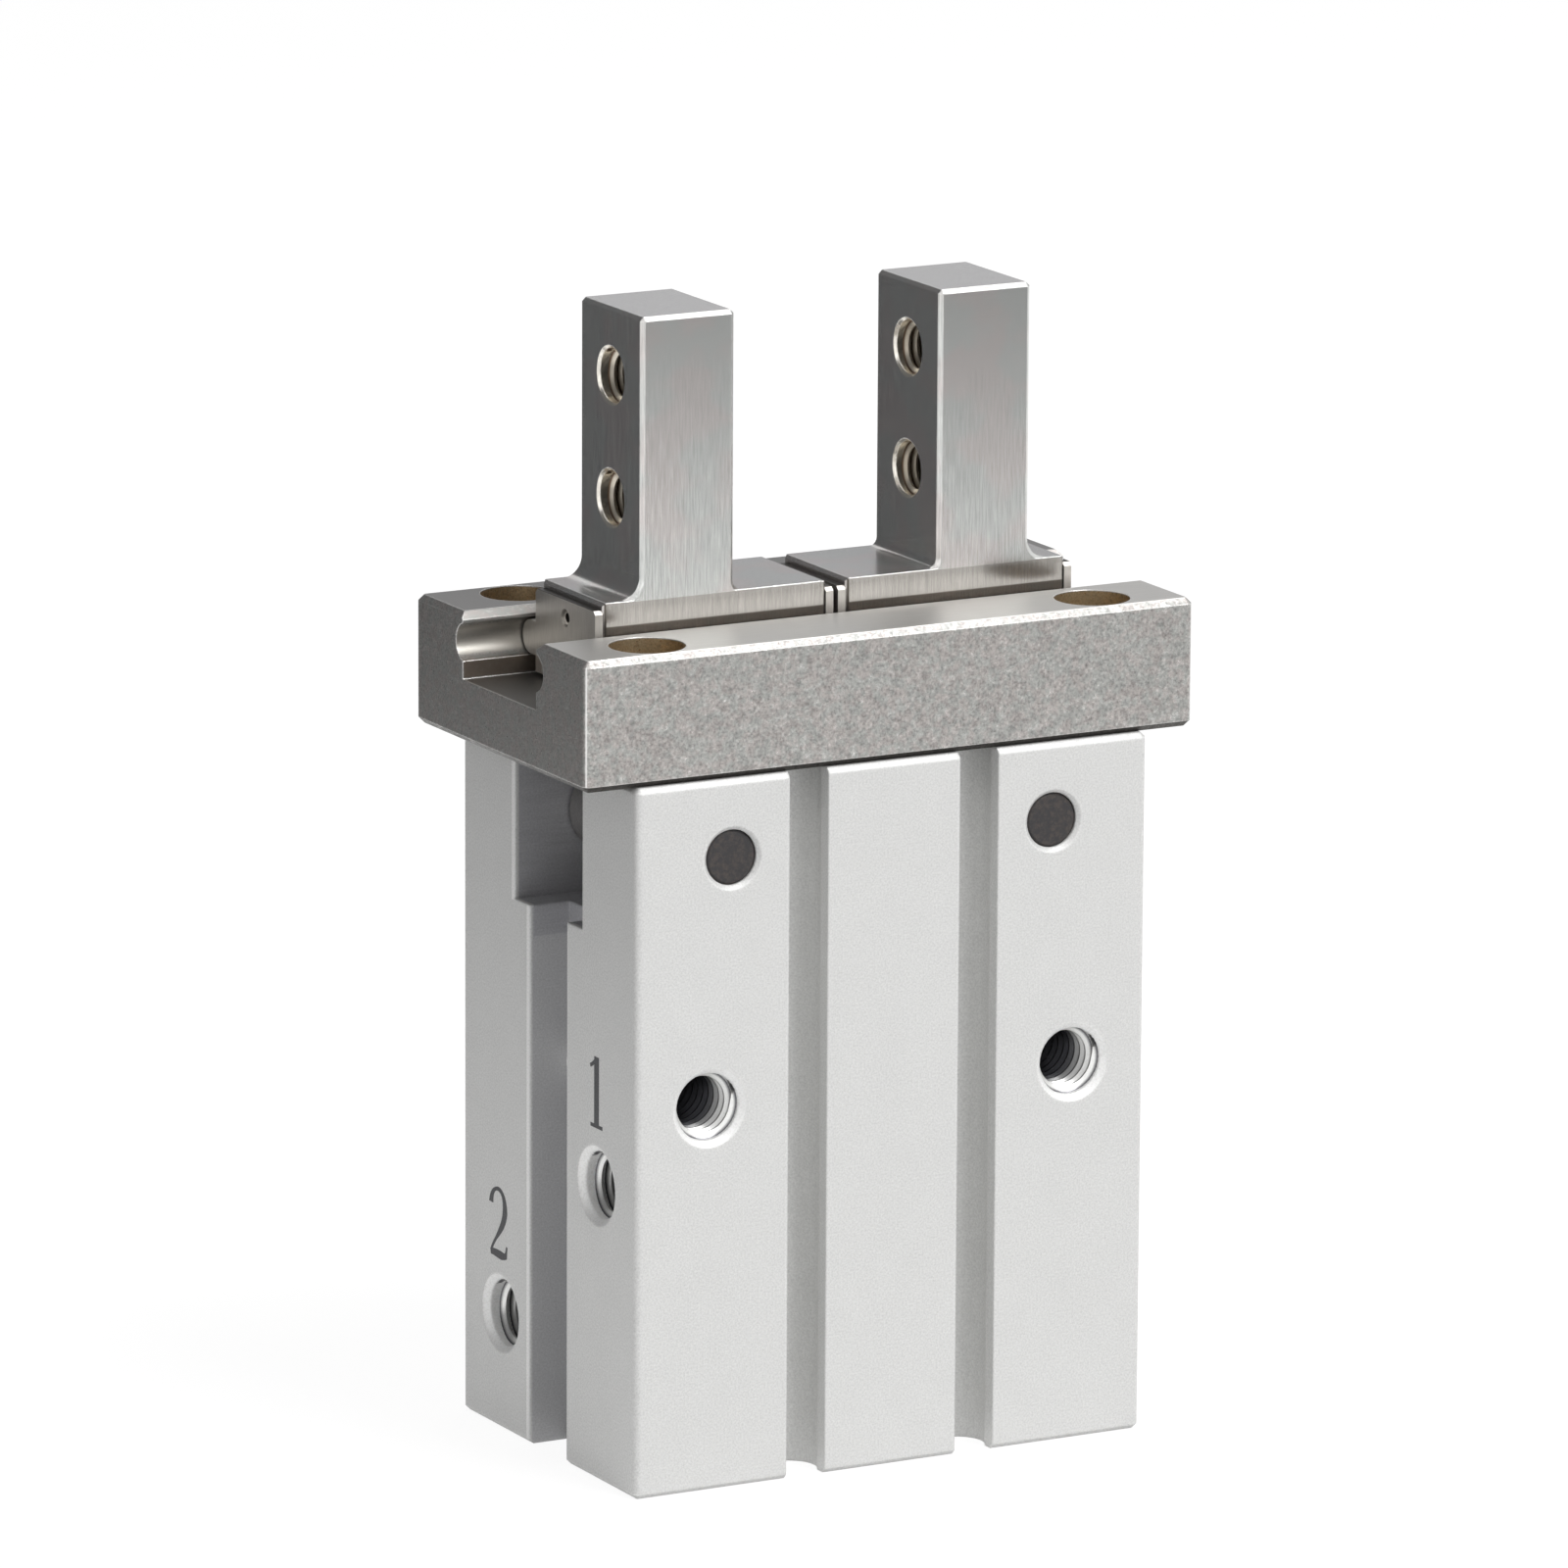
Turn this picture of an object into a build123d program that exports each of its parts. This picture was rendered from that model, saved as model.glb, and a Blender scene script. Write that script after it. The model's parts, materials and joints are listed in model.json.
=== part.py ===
from build123d import *
import math
import os

# Parallel gripper with a piston of 20 mm bore, in millimetres.
# Origin: centre of the housing's bottom face. +Z runs up to the fingertips, X is the way the
# fingers travel, and -Y is the front, with the two black pin plugs.
# The model stands at rest as in the picture: piston down, fingers closed.

# Housing block
body_width = 42.0
body_depth = 27.6
body_height = 52.7
body_corner_radius = 0.5
body_edge_chamfer = 0.35

# Long grooves of the extruded housing
switch_groove_spacing = 14.0
switch_groove_width = 3.2
switch_groove_round = 4.0
switch_groove_centre_depth = 2.4
side_groove_width = 6.0
side_groove_depth = 3.3

# Slot across the top of the housing, where the levers swing
slot_width = 10.8
slot_depth = 12.0
well_depth = 2.1

# Cylinder and its closed end
bore_diameter = 20.0
locating_diameter = 21.0
locating_depth = 1.5
ring_groove_diameter = 21.0
ring_groove_height = 1.0
ring_groove_base = 0.7
clip_width = 1.7
clip_opening = 4.4
clip_eye_diameter = 2.6
clip_eye_hole = 1.2
clip_boss_space = 0.1
cap_flange_height = 4.3
cap_boss_height = 1.4
cap_boss_diameter = 15.0
gasket_thickness = 1.7
gasket_groove_height = 2.0
bumper_height = 3.2
bumper_seat_depth = 1.0
bumper_outer_diameter = 13.0
bumper_inner_diameter = 9.0
bumper_gap = 0.1
bumper_edge_radius = 0.4
chamber_end_space = 2.75

# Piston and rod
piston_height = 7.7
piston_seal_height = 2.2
piston_seal_base = 0.8
piston_groove_depth = 1.9
magnet_height = 2.4
magnet_base = 4.3
rod_diameter = 8.0
spigot_diameter = 5.0
spigot_length = 5.1
piston_screw_head_diameter = 7.0
piston_screw_head_height = 2.3
piston_screw_diameter = 3.2
piston_screw_reach = 11.0
piston_screw_end_space = 0.5
screw_socket_depth_share = 0.5
screw_head_chamfer = 0.3
screw_head_space = 0.1

# Rod gland in the wall above the cylinder
retainer_height = 1.1
rod_seal_height = 3.0
gland_diameter = 14.0
retainer_rod_space = 0.3
rod_hole_space = 0.5
bush_height = 9.1
bush_outer_diameter = 11.0

# Joint on top of the rod
joint_base_diameter = 10.2
well_space = 0.5
cheek_diameter = 14.4
joint_base_height = 2.65
joint_length = 10.8
joint_depth = 9.4
joint_spigot_length = 2.0
roller_diameter = 2.5
roller_spacing = 6.8
prong_thickness = 1.0
prong_space = 0.25
roller_end_space = 0.1

# Levers and their pins
lever_pin_spacing = 26.4
lever_pin_drop = 5.8
lever_pin_diameter = 4.0
lever_pin_end_wall = 2.8
lever_reach = 12.0
lever_thickness = 4.0
lever_hub_diameter = 6.8
lever_hub_width = 10.4
lever_head_diameter = 4.0
lever_neck_width = 2.8
lever_root_width = 5.2
plug_thickness = 1.5
plug_recess = 0.3
plug_hole_diameter = 4.1
plug_countersink = 0.3
plug_edge_chamfer = 0.2
pin_end_space = 0.2
pin_edge_chamfer = 0.3

# Guide rail
rail_overhang = 4.0
rail_set_back = 0.3
rail_height = 9.6
rail_corner_radius = 0.6
rail_edge_chamfer = 0.45
rail_wall = 7.65
channel_depth = 4.95
channel_chamfer = 0.55
rail_window_length = 9.2
rail_window_side_space = 0.6

# Screws that hold the rail
rail_screw_from_housing_end = 2.7
rail_screw_from_rail_front = 3.35
rail_screw_diameter = 3.0
rail_screw_hole_diameter = 3.4
rail_screw_thread_bore = 2.5
rail_screw_thread_depth = 8.0
rail_screw_head_diameter = 5.3
rail_screw_head_height = 3.0
rail_screw_head_drop = 2.0
rail_screw_counterbore = 5.6
rail_screw_socket = 2.5
rail_screw_tip_space = 1.0

# Fingers and the carriages they stand on
finger_stroke = 5.0
finger_from_carriage_end = 3.05
finger_thickness = 7.6
finger_height = 20.6
finger_edge_chamfer = 0.3
finger_root_outer = 1.6
finger_root_inner = 0.7
carriage_gap = 1.6
carriage_end_space = 0.35
carriage_side_space = 0.65
carriage_shoulder = 0.4
carriage_rise = 2.1
carriage_floor_gap = 0.3
carriage_neck_drop = 0.7
carriage_edge_chamfer = 0.25
finger_thread = 4.0
finger_hole_chamfer = 0.2
finger_hole_from_tip = 5.0
finger_hole_pitch = 9.0

# Ball rows between the carriages and the rail
ball_diameter = 2.8
ball_row_drop = 2.2
ball_pitch = 3.1
ball_row_end_space = 1.0

# End plates of the carriages
plate_thickness = 0.6
plate_top_drop = 0.55
plate_ear_radius = 1.25
plate_corner = 0.3
plate_pin_diameter = 1.3
plate_pin_hole = 0.7
plate_pin_length = 4.0
plate_pin_recess = 0.2
plate_pin_drop = 1.9
plate_pin_end_space = 0.3
plate_side_space = 0.1

# Tapped holes in the housing
mount_spacing = 30.0
mount_height = 28.6
mount_thread = 5.0
mount_thread_depth = 10.0
mount_through = 4.3
mount_chamfer = 0.45
port_offset = 7.65
port_height_close = 22.1
port_height_open = 8.8
port_thread = 5.0
port_depth = 5.5
port_chamfer = 0.45
port_passage = 1.5
base_spacing_x = 32.0
base_spacing_y = 18.0
base_thread = 4.0
base_thread_depth = 5.5
base_chamfer = 0.3

# Clearances
slide_clearance = 0.03
fit_clearance = 0.01
ball_clearance = 0.05
lever_clearance = 0.1
roller_clearance = 0.08

# Places along and across the gripper that follow from the sizes above
rail_length = body_width + 2 * rail_overhang
rail_depth = body_depth - 2 * rail_set_back
rail_screw_spacing_x = body_width - 2 * rail_screw_from_housing_end
rail_screw_spacing_y = rail_depth - 2 * rail_screw_from_rail_front
channel_width = rail_depth - 2 * rail_wall
carriage_width = channel_width - 2 * carriage_side_space
finger_depth = carriage_width - 2 * carriage_shoulder
carriage_start = carriage_gap / 2
carriage_end = rail_length / 2 - finger_stroke - plate_thickness - carriage_end_space
carriage_length = carriage_end - carriage_start
carriage_centre = (carriage_start + carriage_end) / 2
finger_outer = carriage_end - finger_from_carriage_end
finger_inner = finger_outer - finger_thickness
balls_per_row = int((carriage_length - 2 * ball_row_end_space) / ball_pitch)

# Heights that follow from the sizes above
ring_bottom = locating_depth + ring_groove_base
cap_bottom = ring_bottom + ring_groove_height
cap_top = cap_bottom + cap_flange_height
bumper_bottom = cap_top - bumper_seat_depth
piston_bottom = bumper_bottom + bumper_height + bumper_gap
piston_top = piston_bottom + piston_height
rail_bottom = body_height
rail_top = rail_bottom + rail_height
channel_floor = rail_top - channel_depth
slot_floor = body_height - slot_depth
well_floor = slot_floor - well_depth
pin_height = body_height - lever_pin_drop
carriage_bottom = channel_floor + carriage_floor_gap
carriage_neck = rail_top - carriage_neck_drop
carriage_top = rail_top + carriage_rise
finger_top = carriage_top + finger_height
ball_height = rail_top - ball_row_drop

# How far the levers turn and the piston travels for one stroke of a finger
pin_x = lever_pin_spacing / 2
half_swing = math.asin(finger_stroke / 2 / lever_reach)
roller_x = roller_spacing / 2
arm_length = pin_x - roller_x
piston_stroke = 2 * arm_length * math.tan(half_swing)
roller_height = pin_height - piston_stroke / 2
chamber_top = piston_top + piston_stroke + chamber_end_space

# Rod gland and joint
gland_top = chamber_top + retainer_height + rod_seal_height
bush_top = gland_top + bush_height
fork_half_height = roller_diameter / 2 + roller_clearance + prong_thickness
fork_reach = arm_length / math.cos(half_swing) + roller_diameter / 2 + 2 * roller_clearance
fork_drop = fork_reach * math.sin(half_swing) + fork_half_height * math.cos(half_swing)
joint_slot_floor = pin_height - fork_drop - prong_space
joint_bottom = joint_slot_floor - joint_base_height
joint_top = roller_height + fork_half_height

# Ball rows and the finger's place
groove_radius = ball_diameter / 2 + ball_clearance
ball_y = (channel_width + carriage_width) / 4 - ball_clearance / 2
head_x = pin_x - finger_stroke / 2

# Plane seen from the front: drawn x is X, drawn y is Z
side_plane = Plane(origin=(0, 0, 0), x_dir=(1, 0, 0), z_dir=(0, -1, 0))


def block(x0, x1, y0, y1, z0, z1):
    """A rectangular block between two corners."""
    size = (x1 - x0, y1 - y0, z1 - z0)
    centre = ((x0 + x1) / 2, (y0 + y1) / 2, (z0 + z1) / 2)
    return Pos(*centre) * Box(*size)


def disc(diameter, bottom, top, x=0.0, y=0.0):
    """A cylinder that stands on end."""
    return Pos(x, y, (bottom + top) / 2) * Cylinder(diameter / 2, top - bottom)


def along_x(diameter, x0, x1, y, z):
    return Pos((x0 + x1) / 2, y, z) * Rot(0, 90, 0) * Cylinder(diameter / 2, abs(x1 - x0))


def along_y(diameter, y0, y1, x, z):
    return Pos(x, (y0 + y1) / 2, z) * Rot(90, 0, 0) * Cylinder(diameter / 2, abs(y1 - y0))


def ring(outer, inner, bottom, top):
    return disc(outer, bottom, top) - disc(inner, bottom - 1, top + 1)


def countersink(mouth, diameter, depth, direction):
    """A cone that widens a hole of the given diameter by depth, all round, at its mouth."""
    turns = {"-Y": Rot(-90, 0, 0), "+Y": Rot(90, 0, 0), "-X": Rot(0, 90, 0),
             "+X": Rot(0, -90, 0), "-Z": Rot(0, 0, 0)}
    cone = Cone(diameter / 2 + depth, diameter / 2, depth, align=(Align.CENTER, Align.CENTER, Align.MIN))
    return Pos(*mouth) * turns[direction] * cone


def both_sides(piece):
    """The piece and its mirror image across the middle of the gripper."""
    return piece + mirror(piece, about=Plane.YZ)


def front_and_back(piece):
    return piece + mirror(piece, about=Plane.XZ)


def switch_grooves():
    """Round-bottomed grooves for position switches, two in the front and two in the back."""
    x = switch_groove_spacing / 2
    face = body_depth / 2
    centre = face - switch_groove_centre_depth
    mouth = block(x - switch_groove_width / 2, x + switch_groove_width / 2,
                  -face - 1, -centre, -1, body_height + 1)
    seat = disc(switch_groove_round, -1, body_height + 1, x, -centre)
    return front_and_back(both_sides(mouth + seat))


def lever_space():
    """The slot across the top, and the well in its floor that the rod's joint sinks into."""
    half = body_width / 2 + 1
    slot = block(-half, half, -slot_width / 2, slot_width / 2, slot_floor, body_height + 1)
    well = disc(joint_base_diameter + 2 * well_space, well_floor, slot_floor + 1)
    return slot + well


def cylinder_space():
    """The cylinder with its ring groove, the locating bore below and the rod gland above."""
    space = disc(locating_diameter, -1, locating_depth)
    space += disc(bore_diameter, locating_depth - 0.5, chamber_top)
    space += disc(ring_groove_diameter, ring_bottom, ring_bottom + ring_groove_height)
    space += disc(gland_diameter, chamber_top - 1, gland_top)
    space += disc(bush_outer_diameter + 2 * fit_clearance, gland_top - 1, bush_top)
    space += disc(rod_diameter + 2 * rod_hole_space, bush_top - 1, well_floor + 1)
    return space


def side_mounts():
    """Tapped holes that run through from the front to the back."""
    x = mount_spacing / 2
    face = body_depth / 2
    hole = along_y(mount_through, -face, face, x, mount_height)
    thread = along_y(mount_thread, -face - 1, -face + mount_thread_depth, x, mount_height)
    thread += countersink((x, -face, mount_height), mount_thread, mount_chamfer, "-Y")
    return both_sides(hole + front_and_back(thread))


def air_port(y, z):
    """A tapped port in the left face, and the drilled passage from its bottom to the cylinder."""
    face = -body_width / 2
    bottom = face + port_depth
    port = along_x(port_thread, face - 1, bottom, y, z)
    port += countersink((face, y, z), port_thread, port_chamfer, "-X")
    start = Vector(bottom - port_passage / 2, y, z)
    end = Vector(-bore_diameter / 4, y * bore_diameter / 4 / abs(face), z)
    way = end - start
    drill = Plane(origin=start, z_dir=way) * Cylinder(port_passage / 2, way.length,
                                                      align=(Align.CENTER, Align.CENTER, Align.MIN))
    return port + drill


def base_mounts():
    """Tapped holes in the four corners of the bottom face."""
    x = base_spacing_x / 2
    y = base_spacing_y / 2
    hole = disc(base_thread, -1, base_thread_depth, x, y)
    hole += countersink((x, y, 0), base_thread, base_chamfer, "-Z")
    return front_and_back(both_sides(hole))


def pin_holes():
    """Blind holes for the lever pins, drilled from the front and closed by a plug."""
    face = body_depth / 2
    pin_fit = lever_pin_diameter + 2 * fit_clearance
    hole = along_y(pin_fit, -face, face - lever_pin_end_wall, pin_x, pin_height)
    seat_depth = plug_recess + plug_thickness
    hole += along_y(plug_hole_diameter, -face - 1, -face + seat_depth, pin_x, pin_height)
    hole += countersink((pin_x, -face, pin_height), plug_hole_diameter, plug_countersink, "-Y")
    return both_sides(hole)


def rail_screw_places():
    return GridLocations(rail_screw_spacing_x, rail_screw_spacing_y, 2, 2)


def make_body_block():
    body = block(-body_width / 2, body_width / 2, -body_depth / 2, body_depth / 2, 0, body_height)
    body = fillet(body.edges().filter_by(Axis.Z), body_corner_radius)
    body = chamfer(body.faces().filter_by(Axis.Z).edges(), body_edge_chamfer)
    body -= switch_grooves()
    half = body_width / 2
    body -= both_sides(block(half - side_groove_depth, half + 1,
                             -side_groove_width / 2, side_groove_width / 2, -1, slot_floor + 1))
    body -= lever_space()
    body -= cylinder_space()
    body -= side_mounts()
    body -= air_port(-port_offset, port_height_close)
    body -= air_port(port_offset, port_height_open)
    body -= base_mounts()
    body -= pin_holes()
    for place in rail_screw_places():
        body -= place * disc(rail_screw_thread_bore, body_height - rail_screw_thread_depth, body_height + 1)
    return body


def ball_groove():
    """The round groove of one ball row, along X, big enough to cut carriage and rail."""
    return along_x(2 * groove_radius, -rail_length, rail_length, ball_y, ball_height)


def channel_profile():
    """Cross-section of the rail's channel, in Y and Z, with its chamfered mouth."""
    half = channel_width / 2
    wide = half + channel_chamfer
    over = rail_top + 1
    points = [(-half, channel_floor), (half, channel_floor), (half, rail_top - channel_chamfer),
              (wide, rail_top), (wide, over), (-wide, over), (-wide, rail_top),
              (-half, rail_top - channel_chamfer)]
    return Plane.YZ * make_face(Polyline(*points, close=True))


def make_guide_rail():
    """U-shaped rail with a ball race along each inner wall."""
    rail = block(-rail_length / 2, rail_length / 2, -rail_depth / 2, rail_depth / 2, rail_bottom, rail_top)
    rail = fillet(rail.edges().filter_by(Axis.Z), rail_corner_radius)
    rail = chamfer(rail.faces().filter_by(Axis.Z).edges(), rail_edge_chamfer)
    rail -= extrude(channel_profile(), rail_length, both=True)
    rail -= front_and_back(ball_groove())
    window_half = lever_thickness / 2 + rail_window_side_space
    window = block(pin_x - rail_window_length / 2, pin_x + rail_window_length / 2,
                   -window_half, window_half, rail_bottom - 1, rail_top)
    rail -= both_sides(window)
    seat = rail_top - rail_screw_head_drop - rail_screw_head_height
    for place in rail_screw_places():
        rail -= place * disc(rail_screw_counterbore, seat, rail_top + 1)
        rail -= place * disc(rail_screw_hole_diameter, rail_bottom - 1, rail_top)
    return rail


def make_rail_screws():
    """Four socket head screws."""
    seat = rail_top - rail_screw_head_drop - rail_screw_head_height
    head_top = seat + rail_screw_head_height
    tip = body_height - rail_screw_thread_depth + rail_screw_tip_space
    head = disc(rail_screw_head_diameter, seat, head_top)
    head = chamfer(head.faces().sort_by(Axis.Z)[-1].edges(), screw_head_chamfer)
    socket = extrude(Pos(0, 0, head_top) * RegularPolygon(rail_screw_socket / 2, 6, major_radius=False),
                     -rail_screw_head_height * screw_socket_depth_share)
    shank = disc(rail_screw_diameter, body_height, seat)
    thread = disc(rail_screw_thread_bore - 2 * fit_clearance, tip, body_height)
    screw = head + shank + thread - socket
    return Compound([place * screw for place in rail_screw_places()])


def make_head_cap():
    """Round cap that closes the cylinder, with a groove for its gasket and a seat for the bumper."""
    diameter = bore_diameter - 2 * fit_clearance
    cap = disc(diameter, cap_bottom, cap_top)
    cap += disc(cap_boss_diameter, cap_bottom - cap_boss_height, cap_bottom)
    middle = (cap_bottom + cap_top) / 2
    cap -= ring(diameter + 1, bore_diameter - 2 * gasket_thickness,
                middle - gasket_groove_height / 2, middle + gasket_groove_height / 2)
    cap -= ring(bumper_outer_diameter, bumper_inner_diameter, bumper_bottom, cap_top + 1)
    return cap


def make_cap_gasket():
    section = gasket_thickness / 2 - fit_clearance
    middle = (cap_bottom + cap_top) / 2
    return Pos(0, 0, middle) * Torus(bore_diameter / 2 - gasket_thickness / 2, section)


def make_retaining_ring():
    """Open spring ring with two eyes, in its groove under the cap."""
    outer = ring_groove_diameter - 2 * fit_clearance
    top = ring_bottom + ring_groove_height - fit_clearance
    bottom = ring_bottom + fit_clearance
    clip = ring(outer, outer - 2 * clip_width, bottom, top)
    clip -= block(-clip_opening / 2, clip_opening / 2, -outer, 0, bottom - 1, top + 1)
    eye_x = (clip_opening + clip_eye_diameter) / 2 - clip_boss_space
    eye_y = clip_eye_diameter / 2 - outer / 2
    for side in (-1, 1):
        clip += disc(clip_eye_diameter, bottom, top, side * eye_x, eye_y)
        clip -= disc(clip_eye_hole, bottom - 1, top + 1, side * eye_x, eye_y)
    clip -= ring(outer + 4, outer, bottom - 1, top + 1)
    clip -= disc(cap_boss_diameter + 2 * clip_boss_space, bottom - 1, top + 1)
    return clip


def make_cap_bumper():
    bumper = ring(bumper_outer_diameter - 2 * fit_clearance, bumper_inner_diameter + 2 * fit_clearance,
                  bumper_bottom, bumper_bottom + bumper_height)
    return fillet(bumper.faces().sort_by(Axis.Z)[-1].edges(), bumper_edge_radius)


def make_rod_bush():
    return ring(bush_outer_diameter, rod_diameter + 2 * slide_clearance, gland_top, bush_top)


def make_rod_seal():
    seal = ring(gland_diameter - 2 * fit_clearance, rod_diameter + 2 * slide_clearance,
                chamber_top + retainer_height, gland_top)
    lip_width = (gland_diameter - rod_diameter) / 6
    middle = (gland_diameter + rod_diameter) / 2
    seal -= ring(middle + lip_width, middle - lip_width, chamber_top, gland_top - rod_seal_height / 2)
    return seal


def make_seal_retainer():
    return ring(gland_diameter - 2 * fit_clearance, rod_diameter + 2 * retainer_rod_space,
                chamber_top, chamber_top + retainer_height)


def make_lever_pins():
    face = body_depth / 2
    front = -face + plug_recess + plug_thickness + pin_end_space
    back = face - lever_pin_end_wall - pin_end_space
    pin = along_y(lever_pin_diameter, front, back, pin_x, pin_height)
    pin = chamfer(pin.edges().filter_by(GeomType.CIRCLE), pin_edge_chamfer)
    return Compound([pin, mirror(pin, about=Plane.YZ)])


def make_pin_plugs():
    front = -body_depth / 2 + plug_recess
    plug = along_y(plug_hole_diameter - 2 * fit_clearance, front, front + plug_thickness, pin_x, pin_height)
    plug = chamfer(plug.faces().sort_by(Axis.Y)[0].edges(), plug_edge_chamfer)
    return Compound([plug, mirror(plug, about=Plane.YZ)])


def make_piston():
    piston = disc(bore_diameter - 4 * slide_clearance, piston_bottom, piston_top)
    core = bore_diameter - 2 * piston_groove_depth
    for base, height in ((piston_seal_base, piston_seal_height), (magnet_base, magnet_height)):
        bottom = piston_bottom + base
        piston -= ring(bore_diameter, core, bottom, bottom + height)
    head_space = piston_height - spigot_length
    head_hole = piston_screw_head_diameter + 2 * screw_head_space
    piston -= disc(head_hole, piston_bottom - 1, piston_bottom + head_space)
    piston -= disc(spigot_diameter + 2 * fit_clearance, piston_bottom, piston_top + 1)
    return piston


def make_piston_ring(base, height):
    """A ring that fills one groove of the piston and runs on the cylinder's wall."""
    bottom = piston_bottom + base + fit_clearance
    core = bore_diameter - 2 * piston_groove_depth
    return ring(bore_diameter - 2 * slide_clearance, core + 2 * fit_clearance,
                bottom, bottom + height - 2 * fit_clearance)


def make_piston_seal():
    seal = make_piston_ring(piston_seal_base, piston_seal_height)
    outer = seal.edges().filter_by(GeomType.CIRCLE).group_by(SortBy.RADIUS)[-1]
    return chamfer(outer, piston_groove_depth / 4)


def make_piston_rod():
    """Turned rod: spigot in the piston, shaft through the gland, spigot in the joint."""
    rod = disc(rod_diameter, piston_top, joint_bottom)
    rod += disc(spigot_diameter, piston_top - spigot_length, piston_top)
    rod += disc(spigot_diameter, joint_bottom, joint_bottom + joint_spigot_length)
    rod -= disc(piston_screw_diameter + 2 * fit_clearance, piston_top - spigot_length - 1,
                piston_top - spigot_length + piston_screw_reach)
    return rod


def make_piston_screw():
    seat = piston_top - spigot_length
    head_bottom = seat - piston_screw_head_height
    head = disc(piston_screw_head_diameter, head_bottom, seat)
    head = chamfer(head.faces().sort_by(Axis.Z)[0].edges(), screw_head_chamfer)
    shank = disc(piston_screw_diameter, seat, seat + piston_screw_reach - piston_screw_end_space)
    hexagon = RegularPolygon(piston_screw_diameter / 2, 6, major_radius=False)
    socket = extrude(Pos(0, 0, head_bottom) * hexagon, piston_screw_head_height * screw_socket_depth_share)
    return head + shank - socket


def make_rod_joint():
    """Fork on the rod's end: a round base, and two cheeks that hold the rollers."""
    joint = disc(joint_base_diameter, joint_bottom, joint_slot_floor)
    cheek_inside = lever_thickness / 2 + 2 * lever_clearance
    cheek = block(-joint_length / 2, joint_length / 2, cheek_inside, joint_depth / 2,
                  joint_slot_floor - joint_base_height / 2, joint_top)
    cheek &= disc(cheek_diameter, joint_bottom, joint_top)
    low = ring(2 * cheek_diameter, joint_base_diameter, joint_bottom - 1, slot_floor + well_space)
    joint += front_and_back(cheek - low)
    for side in (-1, 1):
        joint -= along_y(roller_diameter + 2 * fit_clearance, -joint_depth, joint_depth,
                         side * roller_x, roller_height)
    joint -= disc(spigot_diameter + 2 * fit_clearance, joint_bottom - 1, joint_bottom + joint_spigot_length)
    return joint


def make_joint_rollers():
    half = joint_depth / 2 - roller_end_space
    roller = along_y(roller_diameter, -half, half, roller_x, roller_height)
    return Compound([roller, mirror(roller, about=Plane.YZ)])


def lever_outline():
    """Bell crank in the XZ plane, about its pin, at mid stroke: arm up, fork towards -X."""
    neck = lever_neck_width / 2
    root = lever_root_width / 2
    arm_points = [(-root, 0), (root, 0), (neck, lever_reach - lever_head_diameter / 2),
                  (neck, lever_reach), (-neck, lever_reach), (-neck, lever_reach - lever_head_diameter / 2)]
    fork_points = [(-fork_reach, -fork_half_height), (0, -fork_half_height),
                   (0, fork_half_height), (-fork_reach, fork_half_height)]
    outline = side_plane * make_face(Polyline(*arm_points, close=True))
    outline += side_plane * make_face(Polyline(*fork_points, close=True))
    return outline


def make_lever():
    """Right-hand lever, turned back from mid stroke to its rest place."""
    lever = extrude(lever_outline(), lever_thickness / 2, both=True)
    lever += along_y(lever_head_diameter, -lever_thickness / 2, lever_thickness / 2, 0, lever_reach)
    lever += along_y(lever_hub_diameter, -lever_hub_width / 2, lever_hub_width / 2, 0, 0)
    slot_half = roller_diameter / 2 + roller_clearance
    slot_start = arm_length - roller_diameter / 2 - 3 * roller_clearance
    lever -= block(-fork_reach - 1, -slot_start, -lever_thickness, lever_thickness, -slot_half, slot_half)
    lever -= along_y(lever_pin_diameter + 2 * slide_clearance, -lever_hub_width, lever_hub_width, 0, 0)
    return Pos(pin_x, 0, pin_height) * Rot(0, -math.degrees(half_swing), 0) * lever


def carriage_profile():
    """Cross-section of a carriage in Y and Z: wide in the channel, narrow above it."""
    wide = carriage_width / 2
    neck = finger_depth / 2
    points = [(-wide, carriage_bottom), (wide, carriage_bottom), (wide, carriage_neck),
              (neck, carriage_neck), (neck, carriage_top), (-neck, carriage_top),
              (-neck, carriage_neck), (-wide, carriage_neck)]
    return Plane.YZ * make_face(Polyline(*points, close=True))


def root_arc(x, radius, way):
    """Quarter round from the carriage's top up to the finger's face at x."""
    short = radius * (1 - math.sqrt(0.5))
    low = (x + way * radius, carriage_top)
    high = (x, carriage_top + radius)
    return ThreePointArc(low, (x + way * short, carriage_top + short), high)


def finger_profile():
    """Finger in X and Z, with the rounded roots where it meets the carriage."""
    inner = finger_inner
    outer = finger_outer
    inner_root = inner - finger_root_inner
    outer_root = outer + finger_root_outer
    base = carriage_top - carriage_rise / 2
    path = Polyline((outer_root, carriage_top), (outer_root, base),
                    (inner_root, base), (inner_root, carriage_top))
    path += root_arc(inner, finger_root_inner, -1)
    path += Polyline((inner, carriage_top + finger_root_inner), (inner, finger_top),
                     (outer, finger_top), (outer, carriage_top + finger_root_outer))
    path += root_arc(outer, finger_root_outer, 1)
    return side_plane * make_face(path)


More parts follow.
